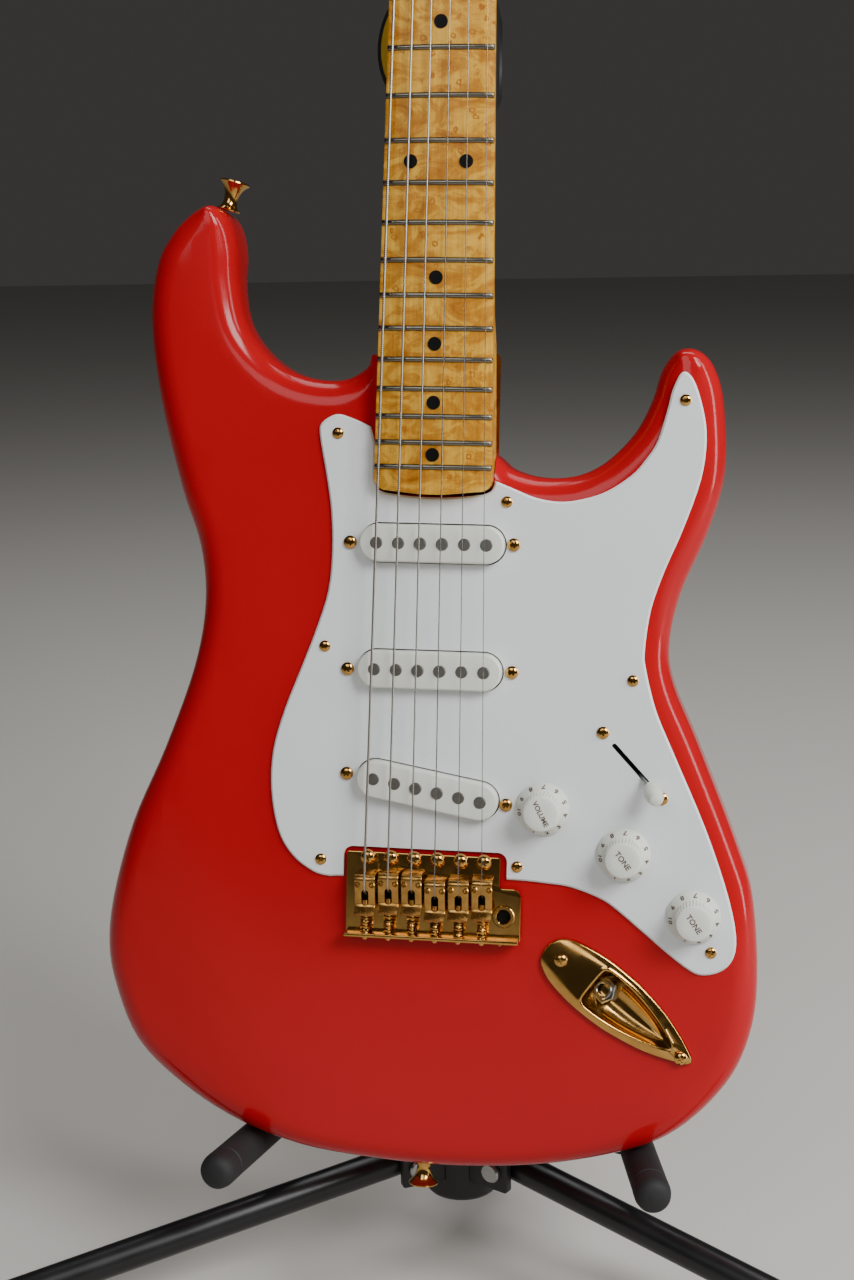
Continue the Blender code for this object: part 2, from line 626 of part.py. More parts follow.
def string_points(index):
    """A string's run from its post, over the nut, to its saddle."""
    post_across, post_below = post_place(index)
    crest = SADDLE_CRESTS[index]
    radius = STRING_RADII[index]
    post_side = post_across + 3.0 + GAP + radius
    return [
        Vector((post_side, -(HEAD_FACE + 5.2), up(post_below - 2.0))),
        Vector((string_across(index, 0), -(STRING_AT_NUT + radius * 0.3), up(2.6))),
        Vector((string_across(index, crest), -STRING_AT_SADDLE, up(crest))),
        Vector((string_across(index, crest), -(STRING_AT_SADDLE - 0.35), up(crest + 1.4))),
    ]


def make_strings(guitar):
    """Six strings held taut from the tuners to the saddles."""
    sides = 6
    for index in range(STRINGS):
        points = string_points(index)
        radius = STRING_RADII[index]
        rings = [
            [p + Vector((radius * math.cos(math.tau * k / sides), radius * math.sin(math.tau * k / sides), 0))
             for k in range(sides)]
            for p in points
        ]
        add_object(f"string_{index + 1}", loft("string", rings), guitar, (NICKEL, 0.3, 1.0))


def make_tuners(guitar):
    """One strip of six gear housings with their posts, and a button for each."""
    back = HEAD_THICKNESS - HEAD_FACE + GAP
    tilt = math.atan2(TUNER_EDGE_END[0] - TUNER_EDGE_START[0], TUNER_EDGE_START[1] - TUNER_EDGE_END[1])
    first, last = post_place(0), post_place(STRINGS - 1)
    middle = ((first[0] + last[0]) / 2, (first[1] + last[1]) / 2)
    frame = add_frame("tuner_frame", (middle[0], back, up(middle[1])), (0, tilt, 0), guitar)
    pitch = math.hypot(last[0] - first[0], last[1] - first[1]) / (STRINGS - 1)
    plate = add_object("tuner_plate", box("tuner_plate", (15, 1.6, 5 * pitch + 20), (0, 0.8, 0)), frame,
                       (GOLD, 0.15, 1.0))
    for index in range(STRINGS):
        height = pitch * (index - 2.5)
        join(plate, f"housing_{index + 1}", box("housing", (13, 9, 15), (-1.0, 5.0, height)))
        post = turned("post", [(3.0, 0.0), (3.0, back + HEAD_FACE + 4.4), (2.6, back + HEAD_FACE + 5.2),
                               (3.0, back + HEAD_FACE + 8.0)], 12)
        join(plate, f"post_{index + 1}", post, (0, 1.0, height), (math.radians(90), 0, 0))
        hub = add_frame(f"tuner_axis_{index + 1}", (-7.5 - GAP, 5.5, height), (0, math.radians(-90), 0), frame)
        profile = [(2.2, 0.0), (2.2, 12.4), (3.6, 12.8), (3.6, 14.0), (2.2, 14.6), (2.2, 18.0)]
        button = add_object(f"tuner_button_{index + 1}", turned("button", profile, 12), hub, (GOLD, 0.15, 1.0))
        wing = [(14.6, -4.5), (17.0, -8.0), (23.0, -9.6), (30.0, -7.6), (32.4, -3.6), (32.9, 0.0),
                (32.4, 3.6), (30.0, 7.6), (23.0, 9.6), (17.0, 8.0), (14.6, 4.5)]
        rings = [[(half, across, along) for along, across in wing] for half in (-2.9, 2.9)]
        join(button, f"wing_{index + 1}", loft("wing", rings))


def make_small_hardware(guitar):
    """Back cover, neck plate and the two strap buttons."""
    rear = BODY_THICKNESS + GAP
    add_object("back_cover", box("back_cover", (84, 1.6, 164), (0, rear + 0.8, up(593))), guitar,
               (WHITE, 0.3, 0.0))
    plate = box("neck_plate", (51, 1.8, 63.5), (0, rear + 0.9, up(430)))
    add_object("neck_plate", plate, guitar, (GOLD, 0.12, 1.0))
    profile = [(5.6, 0.3), (4.2, 1.6), (3.4, 4.5), (3.6, 8.0), (5.0, 11.5), (7.4, 13.6), (7.4, 14.4), (3.0, 15.0)]
    lower = add_object("lower_strap_button", turned("strap_button", profile, 16), guitar, (GOLD, 0.12, 1.0))
    place(lower, (-1.5, 22.0, up(798.5)), (math.radians(180), 0, 0))
    upper = add_object("upper_strap_button", turned("strap_button", profile, 16), guitar, (GOLD, 0.12, 1.0))
    place(upper, (-107.5, 22.0, up(333.0)), (0, math.radians(14), 0))


# ---------------------------------------------------------------- the stand


def make_shafts(lean):
    """The lower tube, the inner tube, the clutch that grips it, its badge, and the neck yoke."""
    bottom = -34.0
    top = CLUTCH_HEIGHT + 6.0
    outer = [(SHAFT_RADIUS, bottom), (SHAFT_RADIUS, top)]
    bore = [(INNER_SHAFT_RADIUS + 0.5, top), (INNER_SHAFT_RADIUS + 0.5, bottom)]
    lower = add_object("shaft_lower", turned_with_bore("shaft_lower", outer, bore), lean, (BLACK, 0.3, 0.6))
    place(lower, (0, SHAFT_BEHIND, 0))
    length = YOKE_HEIGHT - 330.0
    upper = add_object("shaft_upper", rod("shaft_upper", INNER_SHAFT_RADIUS, length, 20), lean,
                       (STEEL, 0.25, 1.0))
    place(upper, (0, SHAFT_BEHIND, 330.0))
    collar = [(15.0, -34.0), (18.5, -31.0), (20.0, -12.0), (20.0, 16.0), (17.0, 26.0), (13.0, 30.0)]
    inside = [(INNER_SHAFT_RADIUS + GAP, 30.0), (INNER_SHAFT_RADIUS + GAP, 6.0 + GAP),
              (SHAFT_RADIUS + GAP, 6.0 + GAP), (SHAFT_RADIUS + GAP, -34.0)]
    clutch = add_object("height_clutch", turned_with_bore("height_clutch", collar, inside), lean,
                        (BLACK, 0.45, 0.0))
    place(clutch, (0, SHAFT_BEHIND, CLUTCH_HEIGHT))
    turned_to = (0, SHAFT_BEHIND, CLUTCH_HEIGHT - 2), (0, 0, BADGE_TURN)
    join(clutch, "badge_pad", box("badge_pad", (26, 10, 36), (0, -20.0, 0)), *turned_to)
    badge = [(BADGE_RADIUS * math.cos(math.tau * k / 32), BADGE_RADIUS * math.sin(math.tau * k / 32))
             for k in range(32)]
    plate = add_object("clutch_badge", slab("clutch_badge", badge, -25.0 - GAP, -28.0 - GAP), lean,
                       (YELLOW, 0.35, 0.0))
    place(plate, *turned_to)


YOKE_INNER_HALF = 30.0
YOKE_PAD_RADIUS = 6.5


def make_yoke(lean):
    """An open padded fork for the neck, on a socket that caps the inner tube."""
    neck_back = NECK_DEPTH - BOARD_FACE
    centre_back = neck_back + GAP + YOKE_PAD_RADIUS + 1.0
    reach = YOKE_INNER_HALF + YOKE_PAD_RADIUS
    corner = 15.0
    path = [Vector((-reach - 3, -24, 0)), Vector((-reach - 1, -14, 0)), Vector((-reach, centre_back - corner, 0))]
    for k in range(1, 6):
        angle = math.radians(180 - 90 * k / 5)
        path.append(Vector((-reach + corner + corner * math.cos(angle),
                            centre_back - corner + corner * math.sin(angle), 0)))
    path += [Vector((-p.x, p.y, 0)) for p in reversed(path)]
    stem_length = SHAFT_BEHIND - centre_back
    stem = box("neck_yoke", (20, stem_length, 13), (0, centre_back + stem_length / 2.0, 0))
    yoke = add_object("neck_yoke", stem, lean, (RUBBER, 0.6, 0.0))
    place(yoke, (0, 0, YOKE_HEIGHT - 4))
    join(yoke, "yoke_fork", level_tube("yoke_fork", path, YOKE_PAD_RADIUS), (0, 0, YOKE_HEIGHT - 4))
    socket = turned("yoke_socket", [(11.0, -22.0), (13.5, -19.0), (13.5, 8.0), (9.0, 13.0)])
    join(yoke, "yoke_socket", socket, (0, SHAFT_BEHIND, YOKE_HEIGHT - 4))
    bore = rod("yoke_bore", INNER_SHAFT_RADIUS + GAP, 40.0, 20)
    cut(yoke, "yoke_bore", bore, (0, SHAFT_BEHIND, YOKE_HEIGHT - 40.0 + GAP))


def leg_slope():
    """The angle of a leg below level, from its pivot to its foot."""
    return math.atan2(LEG_PIVOT_HEIGHT - FOOT_LEG_HEIGHT, LEG_REACH - LEG_PIVOT_REACH)


LEGS = (
    ("left", -math.pi / 2 - LEG_AZIMUTH),
    ("right", -math.pi / 2 + LEG_AZIMUTH),
    ("rear", math.pi / 2),
)


def make_hub_and_legs(lean):
    """The hub with three pairs of lugs, and three legs that fold on their pins, each with a foot."""
    hub_frame = add_frame("hub_frame", (0, HUB_Y, 0))
    profile = [(HUB_RADIUS - 3, 33.0), (HUB_RADIUS, 36.0), (HUB_RADIUS, 63.0), (HUB_RADIUS - 3, 66.0)]
    hub = add_object("stand_hub", turned("stand_hub", profile, 32), hub_frame, (BLACK, 0.45, 0.0))
    slope = leg_slope()
    for side, azimuth in LEGS:
        turned_to = add_frame(f"{side}_leg_direction", (0, HUB_Y, 0), (0, 0, azimuth))
        for offset in (-LEG_RADIUS - 3.0 - GAP, LEG_RADIUS + 3.0 + GAP):
            lug = box("lug", (24.0, 6.0, 20.0), (26.0, offset, LEG_PIVOT_HEIGHT - 1.0))
            join(hub, f"{side}_lug_{'a' if offset < 0 else 'b'}", lug, parent=turned_to)
        pin_hole = rod("pin_hole", 3.3, 40.0, 12)
        cut(hub, f"{side}_pin_hole", pin_hole, (LEG_PIVOT_REACH, 20.0, LEG_PIVOT_HEIGHT),
            (math.radians(90), 0, 0), parent=turned_to)
        leg_frame = add_frame(f"{side}_leg_frame", (LEG_PIVOT_REACH, 0, LEG_PIVOT_HEIGHT), parent=turned_to)
        length = (LEG_REACH - LEG_PIVOT_REACH) / math.cos(slope)
        bar = round_bar("leg", LEG_RADIUS, length, 16)
        leg = add_object(f"leg_{side}", bar, leg_frame, (BLACK, 0.3, 0.6))
        place(leg, (0, 0, 0), (0, math.pi / 2 + slope, 0))
        join(leg, f"{side}_pin", rod("pin", 3.0, 30.0, 12), (0, 15.0, 0), (math.radians(90), 0, 0))
        profile = [(FOOT_RADIUS - 1.5, 0.0), (FOOT_RADIUS, 1.5), (FOOT_RADIUS - 1.0, 14.0), (12.0, 24.0),
                   (8.0, 26.5)]
        foot = add_object(f"foot_{side}", turned("foot", profile), turned_to, (RUBBER, 0.7, 0.0))
        place(foot, (FOOT_REACH, 0, 0))
        socket = round_bar("foot_socket", LEG_RADIUS + GAP, length, 16)
        cut(foot, f"{side}_foot_socket", socket, (LEG_PIVOT_REACH, 0, LEG_PIVOT_HEIGHT),
            (0, math.pi / 2 + slope, 0), parent=turned_to)
    cut(hub, "shaft_socket", rod("shaft_socket", SHAFT_RADIUS + GAP, 120.0, 24),
        (0, SHAFT_BEHIND, -34.0 - GAP), parent=lean)


def make_arms(lean):
    """The cross bar on the shaft, and two arms with soft sleeves that swing outward on its ends."""
    level = ARM_LEVEL
    bar = box("arm_bracket", (2 * ARM_PIVOT_ACROSS, 12.0, 14.0), (0, ARM_PIVOT_BEHIND, level - 4.0))
    bracket = add_object("arm_bracket", bar, lean, (BLACK, 0.45, 0.0))
    collar = turned("bracket_collar", [(17.0, -3.5), (19.0, -1.5), (19.0, 20.0), (17.0, 22.0)])
    join(bracket, "bracket_collar", collar, (0, SHAFT_BEHIND, level))
    clearance = rod("bracket_bore", SHAFT_RADIUS + GAP, 60.0, 24)
    cut(bracket, "bracket_bore", clearance, (0, SHAFT_BEHIND, level - 26.0))
    for side, sign in (("left", -1), ("right", 1)):
        pivot = (sign * ARM_PIVOT_ACROSS, ARM_PIVOT_BEHIND, level)
        boss = turned("boss", [(12.0, -13.5), (12.0, -9.0)], 20)
        join(bracket, f"{side}_boss", boss, pivot)
        notch = rod("notch", 13.0, 30.0, 20)
        cut(bracket, f"{side}_notch", notch, (pivot[0], pivot[1], level - 9.0))
        cut(bracket, f"{side}_pin_bore", rod("pin_bore", 4.3, 30.0, 12), (pivot[0], pivot[1], level - 20.0))
        frame = add_frame(f"{side}_arm_frame", pivot, (0, 0, sign * ARM_SPLAY), lean)
        arm = add_object(f"arm_{side}", round_bar("arm", 6.0, ARM_LENGTH), frame, (BLACK, 0.3, 0.6))
        place(arm, (0, 0, 0), (math.radians(90), 0, 0))
        eye = turned("eye", [(4.0, -13.0), (4.0, -8.7), (11.0, -8.7), (11.0, 7.5), (9.5, 8.7)], 20)
        join(arm, f"{side}_eye", eye)
        sleeve_start = 26.0
        sleeve_length = ARM_LENGTH - sleeve_start
        sleeve = add_object(f"arm_sleeve_{side}", round_bar("sleeve", SLEEVE_RADIUS, sleeve_length), frame,
                            (RUBBER, 0.6, 0.0))
        place(sleeve, (0, -sleeve_start, 0), (math.radians(90), 0, 0))
        cut(sleeve, f"{side}_sleeve_bore", round_bar("sleeve_bore", 6.0 + GAP, ARM_LENGTH), (0, 0, 0),
            (math.radians(90), 0, 0))


def main():
    """Builds the stand and the guitar."""
    for old in list(bpy.data.objects):
        bpy.data.objects.remove(old, do_unlink=True)
    lean = add_frame("lean_frame", (0, FRONT_Y, REST_HEIGHT), (-LEAN, 0, 0))
    guitar = add_frame("guitar_frame", (-STAND_OFFSET, 0, 0), (0, ROLL, 0), lean)
    make_hub_and_legs(lean)
    make_shafts(lean)
    make_yoke(lean)
    make_arms(lean)
    make_body(guitar)
    make_neck(guitar)
    make_nut(guitar)
    make_guard(guitar)
    make_pickups(guitar)
    make_knobs(guitar)
    make_switch(guitar)
    make_jack(guitar)
    make_bridge(guitar)
    make_strings(guitar)
    make_tuners(guitar)
    make_small_hardware(guitar)
    bpy.context.view_layer.update()


main()
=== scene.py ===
"""A solid-body electric guitar on its tripod stand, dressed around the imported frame.

The guitar is worked in millimetres in its own axes, as a luthier lays it out: across the strings, backwards
from the body's face, and up the neck. One matrix takes each finished piece to its place in metres.
"""

import json
import logging
import math
from dataclasses import dataclass
from enum import Enum
from typing import Callable, Sequence

import bpy
from mathutils import Matrix, Vector

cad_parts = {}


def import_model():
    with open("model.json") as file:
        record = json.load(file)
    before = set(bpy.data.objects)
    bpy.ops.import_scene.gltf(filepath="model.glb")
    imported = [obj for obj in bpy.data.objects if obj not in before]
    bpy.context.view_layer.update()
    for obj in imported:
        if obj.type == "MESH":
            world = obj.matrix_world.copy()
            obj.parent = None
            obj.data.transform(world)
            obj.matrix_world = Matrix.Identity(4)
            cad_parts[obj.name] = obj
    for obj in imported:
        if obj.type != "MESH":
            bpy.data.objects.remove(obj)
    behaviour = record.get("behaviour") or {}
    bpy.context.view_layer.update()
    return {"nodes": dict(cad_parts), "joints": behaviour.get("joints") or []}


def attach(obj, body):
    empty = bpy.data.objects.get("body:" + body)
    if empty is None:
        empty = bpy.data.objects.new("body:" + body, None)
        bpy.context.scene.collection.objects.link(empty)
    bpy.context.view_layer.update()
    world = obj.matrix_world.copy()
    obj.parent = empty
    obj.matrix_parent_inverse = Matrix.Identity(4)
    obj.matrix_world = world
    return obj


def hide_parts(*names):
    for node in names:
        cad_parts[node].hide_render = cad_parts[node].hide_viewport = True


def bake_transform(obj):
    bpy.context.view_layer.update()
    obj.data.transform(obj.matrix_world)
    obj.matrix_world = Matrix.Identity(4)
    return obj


LOG = logging.getLogger("guitar")
MM = 0.001
STRINGS = 6
SCALE_LENGTH = 647.7
NUT_HEIGHT = 798.5
Point = tuple[float, float]


def up(below_nut: float) -> float:
    """Height above the body's lowest edge of a distance down from the nut."""
    return NUT_HEIGHT - below_nut


def raised(points: Sequence[Point]) -> list[Point]:
    """Turns (across, below the nut) points into (across, up) points."""
    return [(x, up(s)) for x, s in points]


# ------------------------------------------------------------------ places


class Places:
    """The guitar's and the stand's own axes, worked out from the frame's joints.

    Attributes:
        guitar: Takes guitar millimetres to world metres.
        stand: Takes millimetres in the leaning stand's axes to world metres.
    """

    BRIDGE_PIVOT = Vector((0.0, -2.2, up(643.0)))
    STAND_OFFSET = 9.0

    def __init__(self, joints: list[dict]) -> None:
        """Reads the axes from the tilt, lift and height joints.

        Args:
            joints: The frame's joints.
        """
        by_name = {joint["name"]: joint for joint in joints}
        across = -Vector(by_name["tremolo_tilt"]["axis"]).normalized()
        back = -Vector(by_name["guitar_lift_off"]["axis"]).normalized()
        turn = Matrix((across, back, across.cross(back))).transposed()
        pivot = Vector(by_name["tremolo_tilt"]["pos_m"])
        origin = pivot - turn @ self.BRIDGE_PIVOT * MM
        self.turn = turn
        self.guitar = Matrix.Translation(origin) @ turn.to_4x4() @ Matrix.Scale(MM, 4)
        shaft = Vector(by_name["neck_support_height"]["axis"]).normalized()
        lean = Matrix((back.cross(shaft), back, shaft)).transposed()
        start = origin + lean @ Vector((self.STAND_OFFSET, 0.0, 0.0)) * MM
        self.stand = Matrix.Translation(start) @ lean.to_4x4() @ Matrix.Scale(MM, 4)

    def at(self, x: float, y: float, z: float, turn: Matrix | None = None) -> Matrix:
        """A place on the guitar.

        Args:
            x: Across, in millimetres.
            y: Backwards.
            z: Up.
            turn: How the piece is turned there, if it is.

        Returns:
            The matrix that takes the piece's own millimetres to the world.
        """
        return self.guitar @ Matrix.Translation((x, y, z)) @ (turn or Matrix.Identity(4))


FACING = Matrix.Rotation(math.radians(90), 4, "X")


def turned_about_depth(angle: float) -> Matrix:
    """A turn in the plane of the guitar's face, counter-clockwise as the player's side sees it."""
    return Matrix.Rotation(-angle, 4, "Y")


# ------------------------------------------------------------------ the bench: modelling helpers


def pick(piece: bpy.types.Object) -> bpy.types.Object:
    """Makes a piece the only selected and active one."""
    bpy.ops.object.select_all(action="DESELECT")
    piece.select_set(True)
    bpy.context.view_layer.objects.active = piece
    return piece


def edit(piece: bpy.types.Object, *steps: Callable[[], object]) -> bpy.types.Object:
    """Runs steps on a piece in edit mode with all of it selected.

    Args:
        piece: The piece to work on.
        steps: Calls that run an edit operator each.

    Returns:
        The piece.
    """
    pick(piece)
    bpy.ops.object.mode_set(mode="EDIT")
    bpy.ops.mesh.select_all(action="SELECT")
    for step in steps:
        step()
    bpy.ops.object.mode_set(mode="OBJECT")
    return piece


def outward() -> None:
    """Points the selected faces outwards."""
    bpy.ops.mesh.normals_make_consistent(inside=False)


def skin(rings: Sequence[Sequence[Vector]]) -> bpy.types.Object:
    """Wraps a grid through closed rings of points, sews its seam and closes its ends.

    Args:
        rings: Rings with the same number of points; a ring shrunk to a point makes a pole.

    Returns:
        The closed piece.
    """
    columns = len(rings[0])
    bpy.ops.mesh.primitive_grid_add(x_subdivisions=columns, y_subdivisions=len(rings) - 1, size=1.0)
    piece = bpy.context.object
    for row, ring in enumerate(rings):
        for column in range(columns + 1):
            piece.data.vertices[row * (columns + 1) + column].co = ring[column % columns]
    return edit(
        piece,
        lambda: bpy.ops.mesh.remove_doubles(threshold=0.002),
        lambda: bpy.ops.mesh.fill_holes(sides=0),
        lambda: bpy.ops.mesh.select_all(action="SELECT"),
        outward,
    )


def turned(profile: Sequence[Point], segments: int = 48) -> bpy.types.Object:
    """Turns a profile of (radius, height) points about Z, from one end to the other."""
    rings = []
    for radius, height in profile:
        rings.append([
            Vector((radius * math.cos(math.tau * k / segments), radius * math.sin(math.tau * k / segments), height))
            for k in range(segments)
        ])
    return skin(rings)


def ring_turned(profile: Sequence[Point], segments: int = 48) -> bpy.types.Object:
    """Turns a closed profile about Z, for a piece with a hole through it."""
    piece = turned(list(profile) + [profile[0]], segments)
    return edit(
        piece,
        lambda: bpy.ops.mesh.remove_doubles(threshold=0.002),
        outward,
    )


def slab(outline: Sequence[Point], back: float, front: float) -> bpy.types.Object:
    """Makes a filled (across, up) outline solid between two depths.

    Args:
        outline: The outline's points.
        back: The depth of its rear face.
        front: The depth of its front face.

    Returns:
        The closed piece.
    """
    bpy.ops.mesh.primitive_circle_add(vertices=len(outline), radius=1.0, fill_type="NGON")
    piece = bpy.context.object
    for vertex, (x, z) in zip(piece.data.vertices, outline):
        vertex.co = (x, back, z)
    return edit(
        piece,
        lambda: bpy.ops.mesh.extrude_region_move(TRANSFORM_OT_translate={"value": (0.0, front - back, 0.0)}),
        lambda: bpy.ops.mesh.select_all(action="SELECT"),
        outward,
    )


def block(size: Sequence[float], centre: Sequence[float] = (0, 0, 0), bevel: float = 0.0) -> bpy.types.Object:
    """A rectangular piece with softened edges, for a bar, a bracket or a cutter."""
    bpy.ops.mesh.primitive_cube_add(size=1.0)
    piece = bpy.context.object
    for vertex in piece.data.vertices:
        vertex.co = [c + v * s for c, v, s in zip(centre, vertex.co, size)]
    if bevel:
        edit(piece, lambda: bpy.ops.mesh.bevel(offset=bevel, segments=3, affect="EDGES"))
    return piece


def bevel_edges(piece: bpy.types.Object, chooser: Callable[[Vector, Vector], bool], width: float,
                segments: int = 3) -> bpy.types.Object:
    """Rounds the edges whose two ends a chooser accepts.

    Args:
        piece: The piece to work on.
        chooser: Says whether the edge between two points is rounded.
        width: The rounding, in millimetres.
        segments: How many faces it takes.

    Returns:
        The piece.
    """
    edit(piece, lambda: bpy.ops.mesh.select_mode(type="EDGE"),
         lambda: bpy.ops.mesh.select_all(action="DESELECT"))
    mesh = piece.data
    for edge in mesh.edges:
        start, end = (mesh.vertices[i].co for i in edge.vertices)
        edge.select = chooser(start, end)
    pick(piece)
    bpy.ops.object.mode_set(mode="EDIT")
    bpy.ops.mesh.bevel(offset=width, offset_type="OFFSET", segments=segments, affect="EDGES", clamp_overlap=False)
    bpy.ops.object.mode_set(mode="OBJECT")
    return piece


def rim_at(depth: float, slack: float = 0.01) -> Callable[[Vector, Vector], bool]:
    """Chooses the edges that lie on one depth."""
    return lambda a, b: abs(a.y - depth) < slack and abs(b.y - depth) < slack


def combine(piece: bpy.types.Object, other: bpy.types.Object, operation: str,
            place: Matrix | None = None) -> bpy.types.Object:
    """Cuts a piece by another or joins them, then removes the other.

    Args:
        piece: The piece that stays.
        other: The cutter or the joined piece.
        operation: DIFFERENCE, UNION or INTERSECT.
        place: Where the other piece goes, in the piece's own millimetres.

    Returns:
        The piece.
    """
    if place is not None:
        other.data.transform(place)
    pick(piece)
    modifier = piece.modifiers.new("cut", "BOOLEAN")
    modifier.operation = operation
    modifier.solver = "EXACT"
    modifier.object = other
    bpy.ops.object.modifier_apply(modifier=modifier.name)
    bpy.data.objects.remove(other, do_unlink=True)
    return piece


def carve(piece: bpy.types.Object, cutter: bpy.types.Object, place: Matrix | None = None) -> bpy.types.Object:
    """Cuts a hole or a well."""
    return combine(piece, cutter, "DIFFERENCE", place)


def unite(piece: bpy.types.Object, other: bpy.types.Object, place: Matrix | None = None) -> bpy.types.Object:
    """Joins two overlapping shapes into one solid."""
    return combine(piece, other, "UNION", place)


def gather(pieces: Sequence[bpy.types.Object]) -> bpy.types.Object:
    """Makes one object of separate small pieces, such as a row of frets."""
    pick(pieces[0])
    for piece in pieces[1:]:
        piece.select_set(True)
    bpy.ops.object.join()
    return pieces[0]


def copied(piece: bpy.types.Object, place: Matrix) -> bpy.types.Object:
    """A copy of a piece with its own mesh, moved to a place in the same millimetres."""
    pick(piece)
    bpy.ops.object.duplicate(linked=False)
    twin = bpy.context.object
    twin.data.transform(place)
    return twin


def tube(path: Sequence[Vector], radius: float, sides: int = 4) -> bpy.types.Object:
    """A round tube or wire along a path, with closed ends.

    Args:
        path: The points it follows.
        radius: Its radius.
        sides: The bevel's resolution: a quarter of its sides, less one.

    Returns:
        The tube as a mesh piece.
    """
    bpy.ops.curve.primitive_nurbs_path_add()
    route = bpy.context.object
    route.data.splines.clear()
    spline = route.data.splines.new("POLY")
    spline.points.add(len(path) - 1)
    for point, place in zip(spline.points, path):
        point.co = (*place, 1.0)
    route.data.bevel_depth = radius
    route.data.bevel_resolution = sides
    route.data.use_fill_caps = True
    pick(route)
    bpy.ops.object.convert(target="MESH")
    return edit(bpy.context.object, lambda: bpy.ops.mesh.remove_doubles(threshold=0.0005), outward)


def smooth_through(points: Sequence[Point], steps: int, closed: bool = True) -> list[Vector]:
    """A Catmull-Rom curve through points.

    Args:
        points: The points that it passes.
        steps: How many steps lie between neighbours.
        closed: Whether it returns to its start.

    Returns:
        The curve's points.
    """
    count = len(points)
    curve = []
    for i in range(count if closed else count - 1):
        if closed:
            before, start, end, after = (Vector(points[(i + k) % count]) for k in (-1, 0, 1, 2))
        else:
            before, start, end, after = (Vector(points[min(max(i + k, 0), count - 1)]) for k in (-1, 0, 1, 2))
        for step in range(steps):
            t = step / steps
            curve.append(0.5 * (2 * start + (end - before) * t + (2 * before - 5 * start + 4 * end - after) * t * t
                                + (3 * start - before - 3 * end + after) * t ** 3))
    if not closed:
        curve.append(Vector(points[-1]))
    return curve


def stadium(length: float, width: float, segments: int = 20) -> list[Point]:
    """A slot-shaped outline that lies across."""
    radius = width / 2.0
    reach = length / 2.0 - radius
    outline = []
    for side, start in ((1, -math.pi / 2), (-1, math.pi / 2)):
        for k in range(segments + 1):
            angle = start + math.pi * k / segments
            outline.append((side * reach + radius * math.cos(angle), radius * math.sin(angle)))
    return outline


def rounded(corners: Sequence[tuple[float, float, float]], steps: int = 6) -> list[Point]:
    """An outline with rounded corners.

    Args:
        corners: Each corner's place and its radius.
        steps: How many steps a rounded corner takes.

    Returns:
        The outline's points.
    """
    outline = []
    count = len(corners)
    for i, (x, z, radius) in enumerate(corners):
        here = Vector((x, z))
        if radius <= 0.0:
            outline.append((x, z))
            continue
        to_last = (Vector(corners[i - 1][:2]) - here).normalized()
        to_next = (Vector(corners[(i + 1) % count][:2]) - here).normalized()
        half = to_last.angle(to_next) / 2.0
        centre = here + (to_last + to_next).normalized() * radius / math.sin(half)
        start = here + to_last * radius / math.tan(half) - centre
        sweep = start.angle_signed(here + to_next * radius / math.tan(half) - centre)
        for k in range(steps + 1):
            turn = Matrix.Rotation(-sweep * k / steps, 2)
            outline.append(tuple(centre + turn @ start))
    return outline


def settle(piece: bpy.types.Object, name: str, place: Matrix, body: str, finish: bpy.types.Material,
           replaces: Sequence[str] = (), crease: float = 32.0) -> bpy.types.Object:
    """Puts a finished piece in the world with its place in its mesh, dresses it and hangs it on its body.

    Args:
        piece: The piece in its own millimetres.
        name: The piece's name.
        place: Takes those millimetres to world metres.
        body: The body that it rides on.
        finish: Its material.
        replaces: The CAD nodes that it stands for.
        crease: Edges sharper than this many degrees stay crisp.

    Returns:
        The piece.
    """
    piece.data.transform(piece.matrix_world)
    piece.matrix_world = Matrix.Identity(4)
    piece.data.transform(place)
    if place.determinant() < 0:
        piece.data.flip_normals()
    piece.name = piece.data.name = name
    pick(piece)
    bpy.ops.object.shade_smooth_by_angle(angle=math.radians(crease))
    piece.data.materials.clear()
    piece.data.materials.append(finish)
    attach(piece, body)
    if replaces:
        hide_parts(*replaces)
    LOG.info("%s: %d faces on %s", name, len(piece.data.polygons), body)
    return piece


# ------------------------------------------------------------------ finishes


def linear(colour: str) -> tuple[float, float, float, float]:
    """Turns an sRGB hex colour into linear light."""
    channels = [int(colour[i:i + 2], 16) / 255.0 for i in (1, 3, 5)]
    light = [c / 12.92 if c <= 0.04045 else ((c + 0.055) / 1.055) ** 2.4 for c in channels]
    return (*light, 1.0)


def add_node(tree: bpy.types.NodeTree, kind: str, inputs: dict | None = None, **settings: object) -> bpy.types.Node:
    """Adds a node with its settings, values and links.

    Args:
        tree: The material's nodes.
        kind: The node's type.
        inputs: Values, or sockets to link, by input name or number.
        settings: The node's own properties.

    Returns:
        The node.
    """
    made = tree.nodes.new(kind)
    for key, value in settings.items():
        setattr(made, key, value)
    for key, value in (inputs or {}).items():
        if isinstance(value, bpy.types.NodeSocket):
            tree.links.new(value, made.inputs[key])
        else:
            made.inputs[key].default_value = value
    return made


def ramp(tree: bpy.types.NodeTree, factor: bpy.types.NodeSocket, stops: Sequence[tuple[float, str]]) -> bpy.types.NodeSocket:
    """Adds a colour ramp and returns its colour socket."""
    made = add_node(tree, "ShaderNodeValToRGB", {"Fac": factor})
    elements = made.color_ramp.elements
    while len(elements) < len(stops):
        elements.new(0.5)
    for element, (position, colour) in zip(elements, stops):
        element.position = position
        element.color = linear(colour)
    return made.outputs["Color"]


def new_material(name: str) -> tuple[bpy.types.Material, bpy.types.NodeTree, bpy.types.Node]:
    """Starts a node material and returns it with its tree and shader."""
    material = bpy.data.materials.new(name)
    material.use_nodes = True
    return material, material.node_tree, material.node_tree.nodes["Principled BSDF"]


